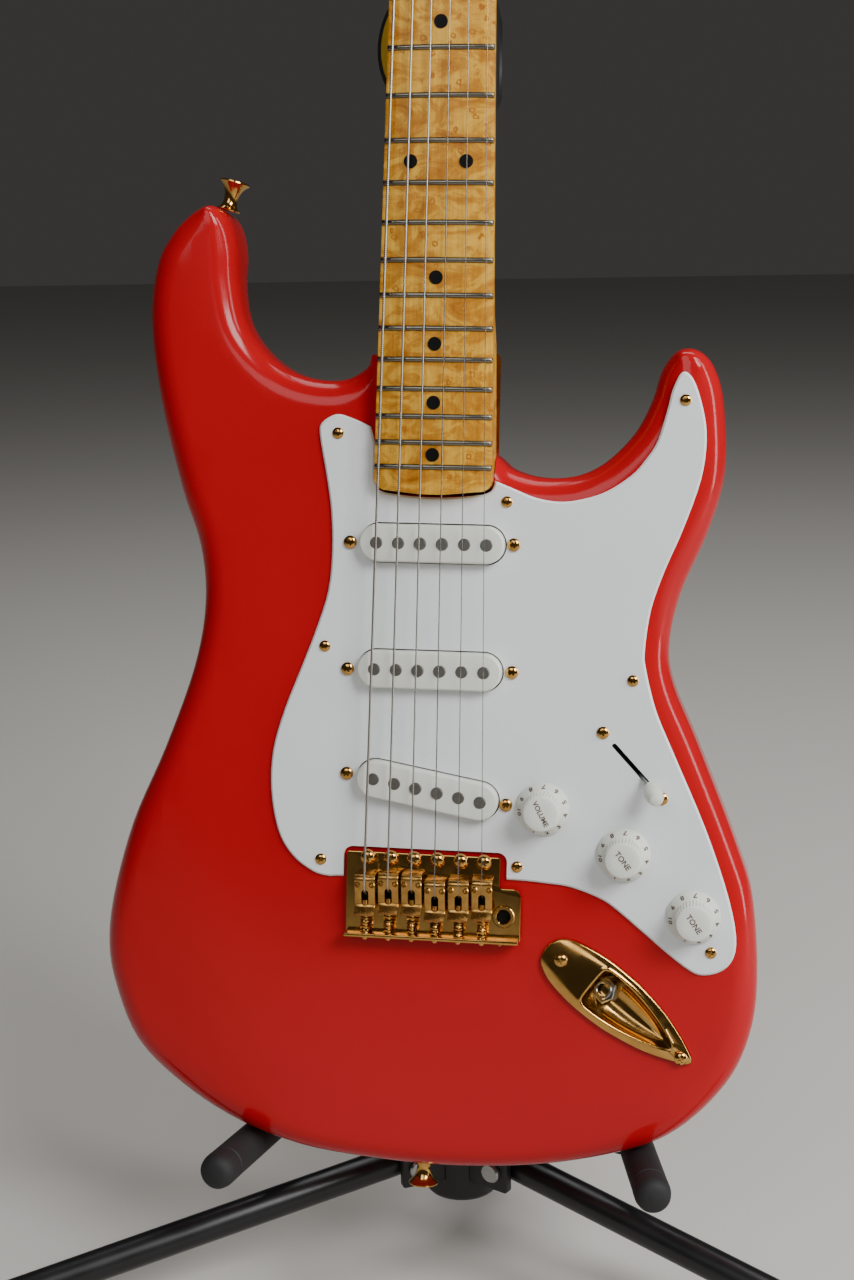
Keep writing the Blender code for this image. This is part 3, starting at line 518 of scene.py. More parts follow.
@dataclass(frozen=True)
class Surface:
    """A plain finish: two close shades, a fine relief and an uneven gloss.

    Attributes:
        name: What the material is and how its surface was made.
        colour: Its main colour, as sRGB hex.
        shade: The second shade that it wanders to.
        roughness: Its gloss, from 0 to 1.
        metallic: 1 for a metal.
        grain: The size of its relief, in millimetres.
        relief: The height of its relief, in millimetres.
        patch: The size of its patches of colour and gloss, in millimetres.
        uneven: How far its roughness wanders.
        coat: The strength of a clear coat.
        ior: Its index of refraction; a metal keeps the default.
        specular: How strongly a plain surface mirrors its surroundings.
    """

    name: str
    colour: str
    shade: str
    roughness: float
    metallic: float = 0.0
    grain: float = 0.8
    relief: float = 0.004
    patch: float = 25.0
    uneven: float = 0.06
    coat: float = 0.0
    ior: float = 1.5
    specular: float = 0.5

    def make(self) -> bpy.types.Material:
        """Builds the material's nodes."""
        material, tree, shader = new_material(self.name)
        where = add_node(tree, "ShaderNodeTexCoord").outputs["Object"]
        patches = add_node(tree, "ShaderNodeTexNoise", {"Vector": where, "Scale": 1.0 / (self.patch * MM),
                                                        "Detail": 3.0}).outputs["Fac"]
        grain = add_node(tree, "ShaderNodeTexNoise", {"Vector": where, "Scale": 1.0 / (self.grain * MM),
                                                      "Detail": 2.0}).outputs["Fac"]
        tree.links.new(ramp(tree, patches, ((0.3, self.colour), (0.75, self.shade))), shader.inputs["Base Color"])
        gloss = add_node(tree, "ShaderNodeMapRange", {
            "Value": patches, "From Min": 0.3, "From Max": 0.7,
            "To Min": max(self.roughness - self.uneven, 0.02), "To Max": self.roughness + self.uneven,
        }).outputs["Result"]
        tree.links.new(gloss, shader.inputs["Roughness"])
        bump = add_node(tree, "ShaderNodeBump", {"Height": grain, "Strength": 1.0, "Distance": self.relief * MM})
        tree.links.new(bump.outputs["Normal"], shader.inputs["Normal"])
        shader.inputs["Metallic"].default_value = self.metallic
        shader.inputs["Coat Weight"].default_value = self.coat
        shader.inputs["Coat Roughness"].default_value = 0.04
        if not self.metallic:
            shader.inputs["IOR"].default_value = self.ior
            shader.inputs["Specular IOR Level"].default_value = self.specular
        return material


@dataclass(frozen=True)
class BirdseyeMaple:
    """Lacquered birdseye maple: amber wood with soft rolling figure, small swirled eyes and fine pores.

    Attributes:
        turn: Turns the pattern to lie along the neck.
        figure: The size of the rolling figure, in millimetres.
        eye: The spacing of the eyes, in millimetres.
    """

    turn: tuple[float, float, float]
    figure: float = 13.0
    eye: float = 7.0

    def make(self) -> bpy.types.Material:
        """Builds the material's nodes."""
        material, tree, shader = new_material("lacquered_birdseye_maple")
        where = add_node(tree, "ShaderNodeTexCoord").outputs["Object"]
        along = add_node(tree, "ShaderNodeMapping", {"Vector": where, "Rotation": self.turn}).outputs["Vector"]
        rolling = add_node(tree, "ShaderNodeMapping", {"Vector": along, "Scale": (0.6, 0.8, 1.0)}).outputs["Vector"]
        figure = add_node(tree, "ShaderNodeTexNoise", {
            "Vector": rolling, "Scale": 1.0 / (self.figure * MM), "Detail": 6.0, "Roughness": 0.68,
            "Distortion": 1.3}).outputs["Fac"]
        swirl = add_node(tree, "ShaderNodeTexNoise", {"Vector": along, "Scale": 1.0 / (2.6 * MM), "Detail": 2.0})
        pushed = add_node(tree, "ShaderNodeVectorMath", {0: along, 1: add_node(
            tree, "ShaderNodeVectorMath", {0: swirl.outputs["Color"], 1: (0.0032, 0.0032, 0.0032)},
            operation="MULTIPLY").outputs["Vector"]}, operation="ADD").outputs["Vector"]
        eyes = add_node(tree, "ShaderNodeTexVoronoi", {"Vector": pushed,
                                                       "Scale": 1.0 / (self.eye * MM), "Randomness": 1.0}).outputs["Distance"]
        rings = ramp(tree, eyes, ((0.0, "#9A9A9A"), (0.08, "#000000"), (0.13, "#FFFFFF"), (0.19, "#FFFFFF"),
                                  (0.24, "#000000")))
        where_eyes = add_node(tree, "ShaderNodeTexNoise", {"Vector": along, "Scale": 1.0 / (21.0 * MM),
                                                           "Detail": 1.0}).outputs["Fac"]
        some = ramp(tree, where_eyes, ((0.40, "#000000"), (0.52, "#FFFFFF")))
        shown = add_node(tree, "ShaderNodeMixRGB", {"Fac": 1.0, "Color1": rings, "Color2": some},
                         blend_type="MULTIPLY").outputs["Color"]
        amber = ramp(tree, figure, ((0.36, "#E3B03E"), (0.47, "#D6A032"), (0.51, "#C58A22"), (0.58, "#BA7C17"),
                                    (0.70, "#A0600E")))
        softer = add_node(tree, "ShaderNodeMixRGB", {"Fac": shown, "Color1": amber, "Color2": linear("#AE6C12")})
        grain_lines = add_node(tree, "ShaderNodeMapping", {"Vector": along, "Scale": (1.0, 1.0, 0.04)})
        pores = add_node(tree, "ShaderNodeTexNoise", {
            "Vector": grain_lines.outputs["Vector"], "Scale": 1.0 / (1.1 * MM), "Detail": 3.0}).outputs["Fac"]
        fine = ramp(tree, pores, ((0.35, "#FFFFFF"), (0.72, "#D9BE93")))
        wood = add_node(tree, "ShaderNodeMixRGB", {"Fac": 0.5, "Color1": softer.outputs["Color"], "Color2": fine},
                        blend_type="MULTIPLY")
        tree.links.new(wood.outputs["Color"], shader.inputs["Base Color"])
        gloss = add_node(tree, "ShaderNodeMapRange", {"Value": figure, "To Min": 0.34, "To Max": 0.44})
        tree.links.new(gloss.outputs["Result"], shader.inputs["Roughness"])
        bump = add_node(tree, "ShaderNodeBump", {"Height": pores, "Strength": 1.0, "Distance": 0.01 * MM})
        tree.links.new(bump.outputs["Normal"], shader.inputs["Normal"])
        shader.inputs["Coat Weight"].default_value = 0.08
        shader.inputs["Specular IOR Level"].default_value = 0.26
        shader.inputs["Coat Roughness"].default_value = 0.2
        return material


@dataclass(frozen=True)
class WoundWire:
    """Nickel-wound string: bright wire with the ridges of its wrap across it, and painted shade in the grooves between
    them.

    Attributes:
        turn: Turns the ridges to lie across the string.
        wrap: The pitch of the ridges, in millimetres, drawn coarser than the real 0.3 so that it shows.
    """

    turn: tuple[float, float, float]
    wrap: float = 0.9

    def make(self) -> bpy.types.Material:
        """Builds the material's nodes."""
        material, tree, shader = new_material("nickel_wound_wire")
        where = add_node(tree, "ShaderNodeTexCoord").outputs["Object"]
        along = add_node(tree, "ShaderNodeMapping", {"Vector": where, "Rotation": self.turn}).outputs["Vector"]
        wrap = add_node(tree, "ShaderNodeTexWave", {"Vector": along, "Scale": math.pi / (10.0 * self.wrap * MM)},
                        bands_direction="Z").outputs["Fac"]
        # The colour ramp paints shade into the grooves between the wraps and a lighter colour on their ridges.
        tree.links.new(ramp(tree, wrap, ((0.0, "#8C8880"), (1.0, "#CFCBC2"))), shader.inputs["Base Color"])
        bump = add_node(tree, "ShaderNodeBump", {"Height": wrap, "Strength": 0.6, "Distance": 0.05 * MM})
        tree.links.new(bump.outputs["Normal"], shader.inputs["Normal"])
        shader.inputs["Metallic"].default_value = 1.0
        shader.inputs["Roughness"].default_value = 0.3
        return material


class Wrap(Enum):
    """The two kinds of string."""

    WOUND = "wound"
    PLAIN = "plain"


class Finishes:
    """Every finish on the guitar and the stand, made once."""

    def __init__(self, turn: Matrix) -> None:
        """Makes the materials.

        Args:
            turn: The guitar's own axes, which wood grain and string wraps follow.
        """
        angles = tuple(turn.transposed().to_euler())
        self.lacquer = Surface("red_nitrocellulose_lacquer", "#B4101A", "#AE0E18", 0.15, grain=2.2, relief=0.006,
                               patch=120.0, uneven=0.03, coat=0.05, specular=0.24).make()
        self.maple = BirdseyeMaple(angles).make()
        self.guard = Surface("single_ply_white_vinyl", "#E6EAEB", "#E2E6E8", 0.3, grain=1.5, relief=0.003,
                             patch=60.0).make()
        self.cover = Surface("moulded_aged_white_abs", "#E0E2D9", "#DADBD1", 0.36, grain=0.7, relief=0.004).make()
        self.gold = Surface("polished_gold_plate", "#D2A45C", "#BC8C48", 0.14, 1.0, grain=0.5, relief=0.001,
                            patch=9.0).make()
        self.satin_gold = Surface("brushed_gold_plate", "#C39450", "#A87A3E", 0.27, 1.0, grain=0.4, relief=0.004,
                                  patch=5.0).make()
        self.nickel = Surface("nickel_silver_fret_wire", "#827D71", "#6E6A60", 0.28, 1.0, grain=0.4,
                              relief=0.001).make()
        self.steel = Surface("zinc_plated_steel", "#A9A9A6", "#8F8F8C", 0.3, 1.0).make()
        self.pole = Surface("ground_alnico_rod", "#85837D", "#6E6C67", 0.42, 0.9, grain=0.3, relief=0.004,
                            patch=3.0).make()
        self.plain_wire = Surface("plain_steel_wire", "#A3A19A", "#8F8D86", 0.24, 1.0, relief=0.0).make()
        self.wound_wire = WoundWire(angles).make()
        # Black for the position dots, and also painted shade for the bridge's string holes and arm hole.
        self.inlay_and_hole_shade = Surface("black_clay_inlay_and_hole_shade", "#050404", "#080706", 0.5, relief=0.002, specular=0.15).make()
        self.bone = Surface("polished_bone", "#E2D8BE", "#D3C7A8", 0.35, patch=6.0).make()
        self.print = Surface("stamped_brown_ink", "#5E4A3C", "#4E3E34", 0.6, relief=0.0).make()
        self.powder = Surface("black_powder_coated_steel", "#101011", "#18181A", 0.34, grain=0.5, relief=0.012,
                              ior=1.5).make()
        self.abs = Surface("moulded_black_nylon", "#121213", "#1A1A1B", 0.48, grain=0.35, relief=0.02).make()
        self.rubber = Surface("black_foam_rubber", "#141415", "#1D1D1E", 0.72, grain=0.9, relief=0.05).make()
        self.badge = Surface("satin_yellow_abs", "#B08C23", "#A58120", 0.4).make()


# ------------------------------------------------------------------ shared small pieces


class Hardware:
    """Screws, made once and copied to every place that takes one."""

    def __init__(self) -> None:
        """Models the oval-head screw with its crossed recess, pointing along Z."""
        head = turned([(1.2, -1.2), (2.75, 0.0), (2.7, 0.45), (2.2, 0.95), (1.3, 1.25), (0.02, 1.35)], 28)
        for angle in (0.3, 0.3 + math.pi / 2):
            carve(head, block((2.9, 0.62, 1.6), (0, 0, 1.35)), Matrix.Rotation(angle, 4, "Z"))
        self.screw = head

    def row(self, places: Sequence[Point], depth: float, scale: float = 1.0, flip: bool = False) -> bpy.types.Object:
        """Copies the screw to (across, up) places on one face.

        Args:
            places: Where each screw stands.
            depth: The depth of the face that it is driven into.
            scale: The screw's size beside the guard's screws.
            flip: Whether it faces backwards.

        Returns:
            The screws as one piece.
        """
        copies = []
        for index, (x, z) in enumerate(places):
            spin = Matrix.Rotation(1.7 * index, 4, "Z")
            face = Matrix.Rotation(math.radians(-90 if flip else 90), 4, "X")
            copies.append(copied(self.screw, Matrix.Translation((x, depth, z)) @ face @ spin @ Matrix.Scale(scale, 4)))
        return gather(copies)

    def put_away(self) -> None:
        """Removes the master once all its copies are made."""
        bpy.data.objects.remove(self.screw, do_unlink=True)


# ------------------------------------------------------------------ body

BODY_OUTLINE = (
    (-29.5, 402), (-35.5, 408.5), (-46, 414), (-60, 414), (-74, 409.5), (-86, 400), (-94.5, 387), (-98.5, 368),
    (-99.5, 353), (-102.5, 340.5), (-108, 333.5), (-115, 332), (-124, 337), (-133, 347), (-139.5, 361),
    (-142, 387), (-137, 425), (-126, 468), (-116.5, 496), (-114, 524), (-119.5, 556), (-134, 596),
    (-151, 634), (-162, 672), (-165, 699), (-161, 721), (-150, 746), (-130, 764.5), (-100, 781.5),
    (-62, 793.5), (-20, 798), (20, 798.5), (60, 794.5), (96, 786), (120, 775.5), (140, 757), (153.5, 735),
    (159.5, 705), (156.5, 660), (147.5, 631.5), (128, 585), (115.5, 557), (112.5, 538), (117, 513),
    (129, 483), (136, 455), (134.5, 423), (130, 407), (124, 399.5), (117, 397.3), (110.5, 400), (105, 408.5),
    (101.5, 421), (95, 435), (86, 446), (76, 454), (64, 458.5), (49, 459), (36, 455.5), (29, 450), (15, 440),
    (-12, 417),
)
NECK_NUT_HALF, NECK_HEEL_HALF, HEEL_END = 21.0, 28.1, 468.0
BOARD_FACE, BOARD_RADIUS = 9.5, 184.0
GUARD_FACE = 1.9
JACK_PLACE = (94.0, 709.5)
JACK_TURN = math.atan2(-42.9, 57.9)
BRIDGE_BELOW = 643.0


def half_width(below_nut: float) -> float:
    """Half the neck's width at a distance below the nut."""
    return NECK_NUT_HALF + (NECK_HEEL_HALF - NECK_NUT_HALF) * min(max(below_nut, 0.0), 465.0) / 465.0


def fall_off(x: float) -> float:
    """How far the domed board has dropped at a distance from the centre line."""
    return BOARD_RADIUS - math.sqrt(BOARD_RADIUS ** 2 - x * x)


def eased(value: float, start: float, end: float) -> float:
    """Goes smoothly from 0 at the start to 1 at the end."""
    t = min(max((value - start) / (end - start), 0.0), 1.0)
    return t * t * (3 - 2 * t)


@dataclass
class Body:
    """The lacquered body with its rounded edges, player's contours and cavities.

    Attributes:
        thickness: From face to back.
        round_over: The radius along both edges.
        steps: Curve steps between the outline's points.
        cell: The size of the cells that its faces are cut into, so that the contours can bend them.
    """

    thickness: float = 44.5
    round_over: float = 12.5
    steps: int = 5
    cell: float = 13.0

    def edge_radii(self, loop: Sequence[Vector], normals: Sequence[Vector]) -> list[float]:
        """The rounding at each point, smaller where the outline itself turns tightly."""
        count = len(loop)
        radii = []
        for i in range(count):
            turn = normals[i - 1].angle(normals[(i + 1) % count], 0.0)
            length = (loop[(i + 1) % count] - loop[i - 1]).length
            convex = (loop[i - 1] + loop[(i + 1) % count] - 2 * loop[i]).dot(normals[i]) > 0
            tight = convex and turn > 1e-4
            radii.append(min(self.round_over, 0.45 * length / turn) if tight else self.round_over)
        for _ in range(40):
            radii = [min(radii[i], (radii[i - 1] + radii[i] + radii[(i + 1) % count]) / 3 + 0.05)
                     for i in range(count)]
        return radii

    def contour(self, point: Vector) -> float:
        """How far a point of the face or the back is carved away for the player's arm and ribs.

        Args:
            point: A point of the plain body.

        Returns:
            The shift backwards, in millimetres.
        """
        if point.y < self.thickness / 2:
            lean = math.radians(14.0)
            out = -(point.x + 108) * math.cos(lean) - (point.z - up(690)) * math.sin(lean)
            slope = math.tan(math.radians(9.5))
            return slope * (math.sqrt(out * out + 196) + out) / 2 if out > -60 else 0.0
        lean = math.radians(8.0)
        out = -(point.x + 66) * math.cos(lean) + (point.z - up(455)) * math.sin(lean)
        window = eased(point.z, up(585), up(545)) * (1 - eased(point.z, up(385), up(345)))
        slope = math.tan(math.radians(13.0))
        return -slope * window * (math.sqrt(out * out + 196) + out) / 2 if out > -60 else 0.0

    def solid(self) -> bpy.types.Object:
        """Models the rounded body with its contours.

        Returns:
            The closed body, without cavities.
        """
        loop = smooth_through(raised(BODY_OUTLINE), self.steps)
        count = len(loop)
        area = sum(loop[i].x * loop[(i + 1) % count].y - loop[(i + 1) % count].x * loop[i].y for i in range(count))
        normals = []
        for i in range(count):
            along = (loop[(i + 1) % count] - loop[i - 1]).normalized()
            normals.append(Vector((-along.y, along.x)) * (1 if area > 0 else -1))
        radii = self.edge_radii(loop, normals)
        levels = [(math.radians(15 * k), 0) for k in range(7)] + [(math.radians(90 - 15 * k), 1) for k in range(7)]
        rings = []
        for rise, rear in levels:
            depth = self.round_over * (1 - math.cos(rise))
            y = self.thickness - depth if rear else depth
            rings.append([Vector((p.x, y, p.y)) + Vector((n.x, 0, n.y)) * r * (1 - math.sin(rise))
                          for p, n, r in zip(loop, normals, radii)])
        piece = skin(rings)
        self.cut_cells(piece, 0, -165, 165)
        self.cut_cells(piece, 2, 0, up(330))
        for vertex in piece.data.vertices:
            vertex.co.y += self.contour(vertex.co)
        return piece

    def cut_cells(self, piece: bpy.types.Object, axis: int, start: float, end: float) -> None:
        """Cuts the two flat faces across one axis at even steps.

        Args:
            piece: The body.
            axis: 0 to cut across, 2 to cut up.
            start: The first cut.
            end: The last cut.
        """
        normal = [0.0, 0.0, 0.0]
        normal[axis] = 1.0
        edit(piece, lambda: bpy.ops.mesh.select_mode(type="FACE"), lambda: bpy.ops.mesh.select_all(action="DESELECT"))
        place = start + self.cell / 2
        while place < end:
            co = [0.0, 0.0, 0.0]
            co[axis] = place
            for face in piece.data.polygons:
                face.select = abs(face.normal.y) > 0.999
            bpy.ops.object.mode_set(mode="EDIT")
            bpy.ops.mesh.bisect(plane_co=co, plane_no=normal)
            bpy.ops.mesh.select_all(action="DESELECT")
            bpy.ops.object.mode_set(mode="OBJECT")
            place += self.cell

    def build(self, places: Places, finishes: Finishes) -> None:
        """Models the body, carves its cavities and dresses it.

        Args:
            places: The guitar's axes.
            finishes: The materials.
        """
        piece = self.solid()
        mouth = half_width(320.0) + 0.3
        pocket = [(-mouth, up(320)), (-28.4, up(462)), (-26.9, up(465.9)), (-23.4, up(468)), (0, up(469)),
                  (23.4, up(468)), (26.9, up(465.9)), (28.4, up(462)), (mouth, up(320))]
        carve(piece, slab(pocket, 16.2, -12.0))
        carve(piece, block((82, 60, 146), (0, -12, up(549))))
        control = raised([(60, 602), (99, 565), (106, 572), (127, 618), (141, 660), (136, 680), (126, 682), (110, 670), (94, 656),
                          (60, 640), (46, 630), (42, 616)])
        carve(piece, slab(control, 35.0, -12.0))
        carve(piece, block((71, 40, 22), (0, -15, up(655.5))))
        carve(piece, block((74, 70, 36), (0, 38.0, up(654))))
        carve(piece, block((60, 24, 124), (0, 42, up(579))))
        half = [(-17.4, 0), (-17.2, 7.6), (-15.6, 11.4), (-11, 12.4), (-2, 12.0), (8, 10.6), (18, 8.2), (27, 5.2),
                (33, 2.2), (34.6, 0)]
        carve(piece, slab(half + [(x, -z) for x, z in half[-2:0:-1]], 34.0, -10.0),
              Matrix.Translation((JACK_PLACE[0], 0, up(JACK_PLACE[1]))) @ turned_about_depth(JACK_TURN))
        settle(piece, "body_lacquered", places.guitar, "guitar", finishes.lacquer, ["guitar_body"], 40.0)


# ------------------------------------------------------------------ neck

HEAD_OUTLINE = (
    (-20.8, 6), (-20.8, -2), (-25, -12), (-36, -22), (-38.5, -34), (-29, -158), (-22, -176), (-8, -184),
    (8, -180), (17, -168), (19.5, -150), (17, -110), (19, -60), (20.8, -30), (20.8, 6),
)
HEAD_FACE, HEAD_THICKNESS, NECK_DEPTH, HEEL_DEPTH = 3.2, 14.0, 21.5, 25.4


def post_place(index: int) -> Point:
    """Where a string's post stands, as across and below the nut."""
    below = -36.0 - 24.0 * index
    return -38.5 + 9.5 * (below + 34.0) / -124.0 + 14.0, below


def string_across(index: int, below_nut: float) -> float:
    """A string's place across; index 0 is the lowest string."""
    share = min(max(below_nut / SCALE_LENGTH, 0.0), 1.01)
    return (35.5 + (56.4 - 35.5) * share) * (index / (STRINGS - 1) - 0.5)


@dataclass
class Neck:
    """The maple neck with its headstock, frets, position dots and nut.

    Attributes:
        frets: How many frets.
        fret_width: Across the wire's crown.
        fret_height: Above the board.
        dot_radius: Each position dot.
        dot_frets: The frets that a dot stands behind.
    """

    frets: int = 21
    fret_width: float = 2.5
    fret_height: float = 1.15
    dot_radius: float = 3.2
    dot_frets: tuple[int, ...] = (3, 5, 7, 9, 12, 15, 17, 19, 21)

    def fret_place(self, number: int) -> float:
        """A fret's distance below the nut, by equal temperament."""
        return SCALE_LENGTH * (1 - 2 ** (-number / 12))

    def section(self, below: float, depth: float, power: float, shrink: float) -> list[Vector]:
        """One ring of the neck: a domed board in front, its eased edges, and a rounded back."""
        half = half_width(below) - shrink
        ring = []
        for k in range(17):
            x = -half + 2 * half * k / 16
            ease = 0.45 if k in (0, 16) else 0.0
            ring.append(Vector((x, -(BOARD_FACE - fall_off(x)) + ease, up(below))))
        side, back = -(BOARD_FACE - 5.5), depth - BOARD_FACE
        for k in range(29):
            angle = math.pi * k / 28
            c, s = math.cos(angle), math.sin(angle)
            x = half * math.copysign(abs(c) ** (2 / power), c)
            ring.append(Vector((x, side + (back - side) * max(s, 0.0) ** (2 / power), up(below))))
        return ring

    def wood(self) -> bpy.types.Object:
        """Models the neck and headstock as one piece of maple."""
        stations = [(4.9 + 32.5 * k, NECK_DEPTH, 2.2, 0.0) for k in range(9)]
        stations += [(310, 22.2, 2.3, 0), (345, 23.2, 2.5, 0), (370, 23.9, 2.8, 0), (384, 24.4, 3.6, 0),
                     (396, HEEL_DEPTH, 8, 0), (430, HEEL_DEPTH, 14, 0), (461, HEEL_DEPTH, 14, 0),
                     (463.3, HEEL_DEPTH, 14, 0.6), (465.1, HEEL_DEPTH, 14, 2.2), (466.3, HEEL_DEPTH, 14, 4.8),
                     (HEEL_END, HEEL_DEPTH, 14, 22.0)]
        piece = skin([self.section(*station) for station in stations])
        outline = [tuple(p) for p in smooth_through(raised(HEAD_OUTLINE[1:-1]), 5, closed=False)]
        outline = [(-20.8, up(6))] + outline + [(20.8, up(6))]
        head = slab(outline, HEAD_THICKNESS - HEAD_FACE, -HEAD_FACE)
        bevel_edges(head, lambda a, b: abs(a.y - b.y) < 0.01 and min(a.z, b.z) > up(0), 1.4)
        unite(piece, head)
        throat = skin([
            [Vector((half * math.cos(math.pi * k / 20) * 1.0, -1.0 + (depth + 1.0) * math.sin(math.pi * k / 20),
                     up(below))) for k in range(21)]
            for below, half, depth in ((40, 19.0, 10.9), (5, 20.0, 11.0), (-10, 19.5, 11.6), (-30, 12.0, 10.4))
        ])
        unite(piece, throat)
        return piece

    def fret(self) -> bpy.types.Object:
        """Models one crowned fret lying flat, one millimetre of half width to one unit across."""
        rings = []
        for x, drop in ((-1.0, 0.55), (-0.985, 0.2), (-0.96, 0.0), (-0.6, 0), (-0.3, 0), (0, 0), (0.3, 0), (0.6, 0),
                        (0.96, 0.0), (0.985, 0.2), (1.0, 0.55)):
            crown = [Vector((x, -max(self.fret_height * math.sin(math.pi * k / 8) ** 0.8 - drop, 0.02),
                             self.fret_width / 2 * math.cos(math.pi * k / 8))) for k in range(9)]
            rings.append(crown + [Vector((x, 0.5, -0.6)), Vector((x, 0.5, 0.6))])
        return skin(rings)

    def lay_on_board(self, piece: bpy.types.Object) -> bpy.types.Object:
        """Drops a flat piece onto the domed board."""
        for vertex in piece.data.vertices:
            vertex.co.y += fall_off(vertex.co.x) - BOARD_FACE
        return piece

    def build(self, places: Places, finishes: Finishes) -> None:
        """Models the neck's pieces and dresses them."""
        settle(self.wood(), "neck_maple", places.guitar, "guitar", finishes.maple, ["neck"])
        master = self.fret()
        wires = []
        for number in range(1, self.frets + 1):
            below = self.fret_place(number)
            wire = copied(master, Matrix.Translation((0, 0, up(below)))
                          @ Matrix.Diagonal((half_width(below) - 0.05, 1, 1, 1)))
            wires.append(self.lay_on_board(wire))
        bpy.data.objects.remove(master, do_unlink=True)
        settle(gather(wires), "fret_wires", places.guitar, "guitar", finishes.nickel, crease=50.0)
        disc = turned([(self.dot_radius, 0.4), (self.dot_radius, -0.03), (1.6, -0.05), (0.01, -0.05)], 32)
        dots = []
        for number in self.dot_frets:
            middle = up((self.fret_place(number) + self.fret_place(number - 1)) / 2)
            for x in ((-13.0, 13.0) if number == 12 else (0.0,)):
                face = Matrix.Translation((x, 0, middle)) @ Matrix.Rotation(math.pi / 2, 4, "X")
                dots.append(self.lay_on_board(copied(disc, face)))
        bpy.data.objects.remove(disc, do_unlink=True)
        settle(gather(dots), "position_dots", places.guitar, "guitar", finishes.inlay_and_hole_shade)
        nut = skin([[Vector((x, y, up(below))) for x, y in (
            (-20.6, -3.5), (20.6, -3.5), (20.6, -9.9), (19.6, -10.5), (10, -11.0), (0, -11.2), (-10, -11.0),
            (-19.6, -10.5), (-20.6, -9.9))] for below in (4.4, 0.9)])
        for index in range(STRINGS):
            carve(nut, block((0.9, 3.0, 8.0), (string_across(index, 0), -12.2, up(2.6))))
        settle(nut, "nut_bone", places.guitar, "guitar", finishes.bone, ["nut"])


# ------------------------------------------------------------------ guard, pickups and controls

GUARD_RUNS = (
    ((23.6, 467.6), (12, 469.0), (0, 469.5), (-12, 469.0), (-23.6, 467.6)),
    ((-23.6, 467.6), (-27.0, 466.0), (-28.8, 462.4)),
    ((-28.8, 462.4), (-28.8, 446), (-31, 436.5)),
    ((-31, 436.5), (-40, 432.7), (-47.5, 431), (-54.5, 435), (-55.5, 441), (-52, 460), (-49.5, 476.5),
     (-48.7, 495.6), (-50.3, 515), (-56, 534), (-63.5, 554), (-71, 573.6), (-76.3, 593.3), (-77, 613),
     (-73.3, 632.5), (-66.2, 644.5), (-56, 652), (-48, 654), (-40.5, 653.6), (0, 652.4), (39, 651.5), (59, 652.4),
     (70.4, 653.8), (84, 658.5), (91.6, 663.3), (103, 672.4), (124, 689), (134, 692.9), (144.6, 688.4),
     (148.6, 677), (144.5, 655.7), (132.6, 622.8), (115.6, 585.4), (107.5, 567), (102.3, 548), (101.5, 538.6),
     (103.8, 519.7), (109.7, 501), (117.4, 482), (125, 458.5), (127, 440), (125, 426), (120.2, 412.5), (115, 409),
     (110.8, 417), (108.7, 426), (104.5, 441), (99, 450), (93, 457), (82, 464.6), (71, 468.6), (60, 470.2),
     (48.5, 468.6), (37, 464.2), (28.8, 461)),
    ((28.8, 461), (28.7, 462.8), (27.0, 466.0), (23.6, 467.6)),
)
GUARD_SCREWS = ((-46.6, 439.9), (34.9, 470.8), (116.9, 421.9), (-51.4, 541.8), (96.4, 553.4), (-51.8, 645.8),
                (43.8, 644.9), (136.9, 681.6))
PICKUPS = (
    ("neck", 491.3, 0.0, ((-39.7, 491.5), (38.6, 490.9))),
    ("middle", 551.6, 0.0, ((-40.0, 552.3), (39.2, 551.4))),
    ("bridge", 609.1, math.radians(-10.0), ((-39.6, 603.0), (37.8, 615.1))),
)
KNOBS = (("volume_knob", 55.6, 616.1, "VOLUME", -62.0), ("tone_knob_neck", 94.6, 636.5, "TONE", -52.0),
         ("tone_knob_middle", 128.4, 664.7, "TONE", -54.0))
SWITCH_PLACE = (97.3, 593.8)
SWITCH_TURN = math.atan2(-30.3, 28.6)


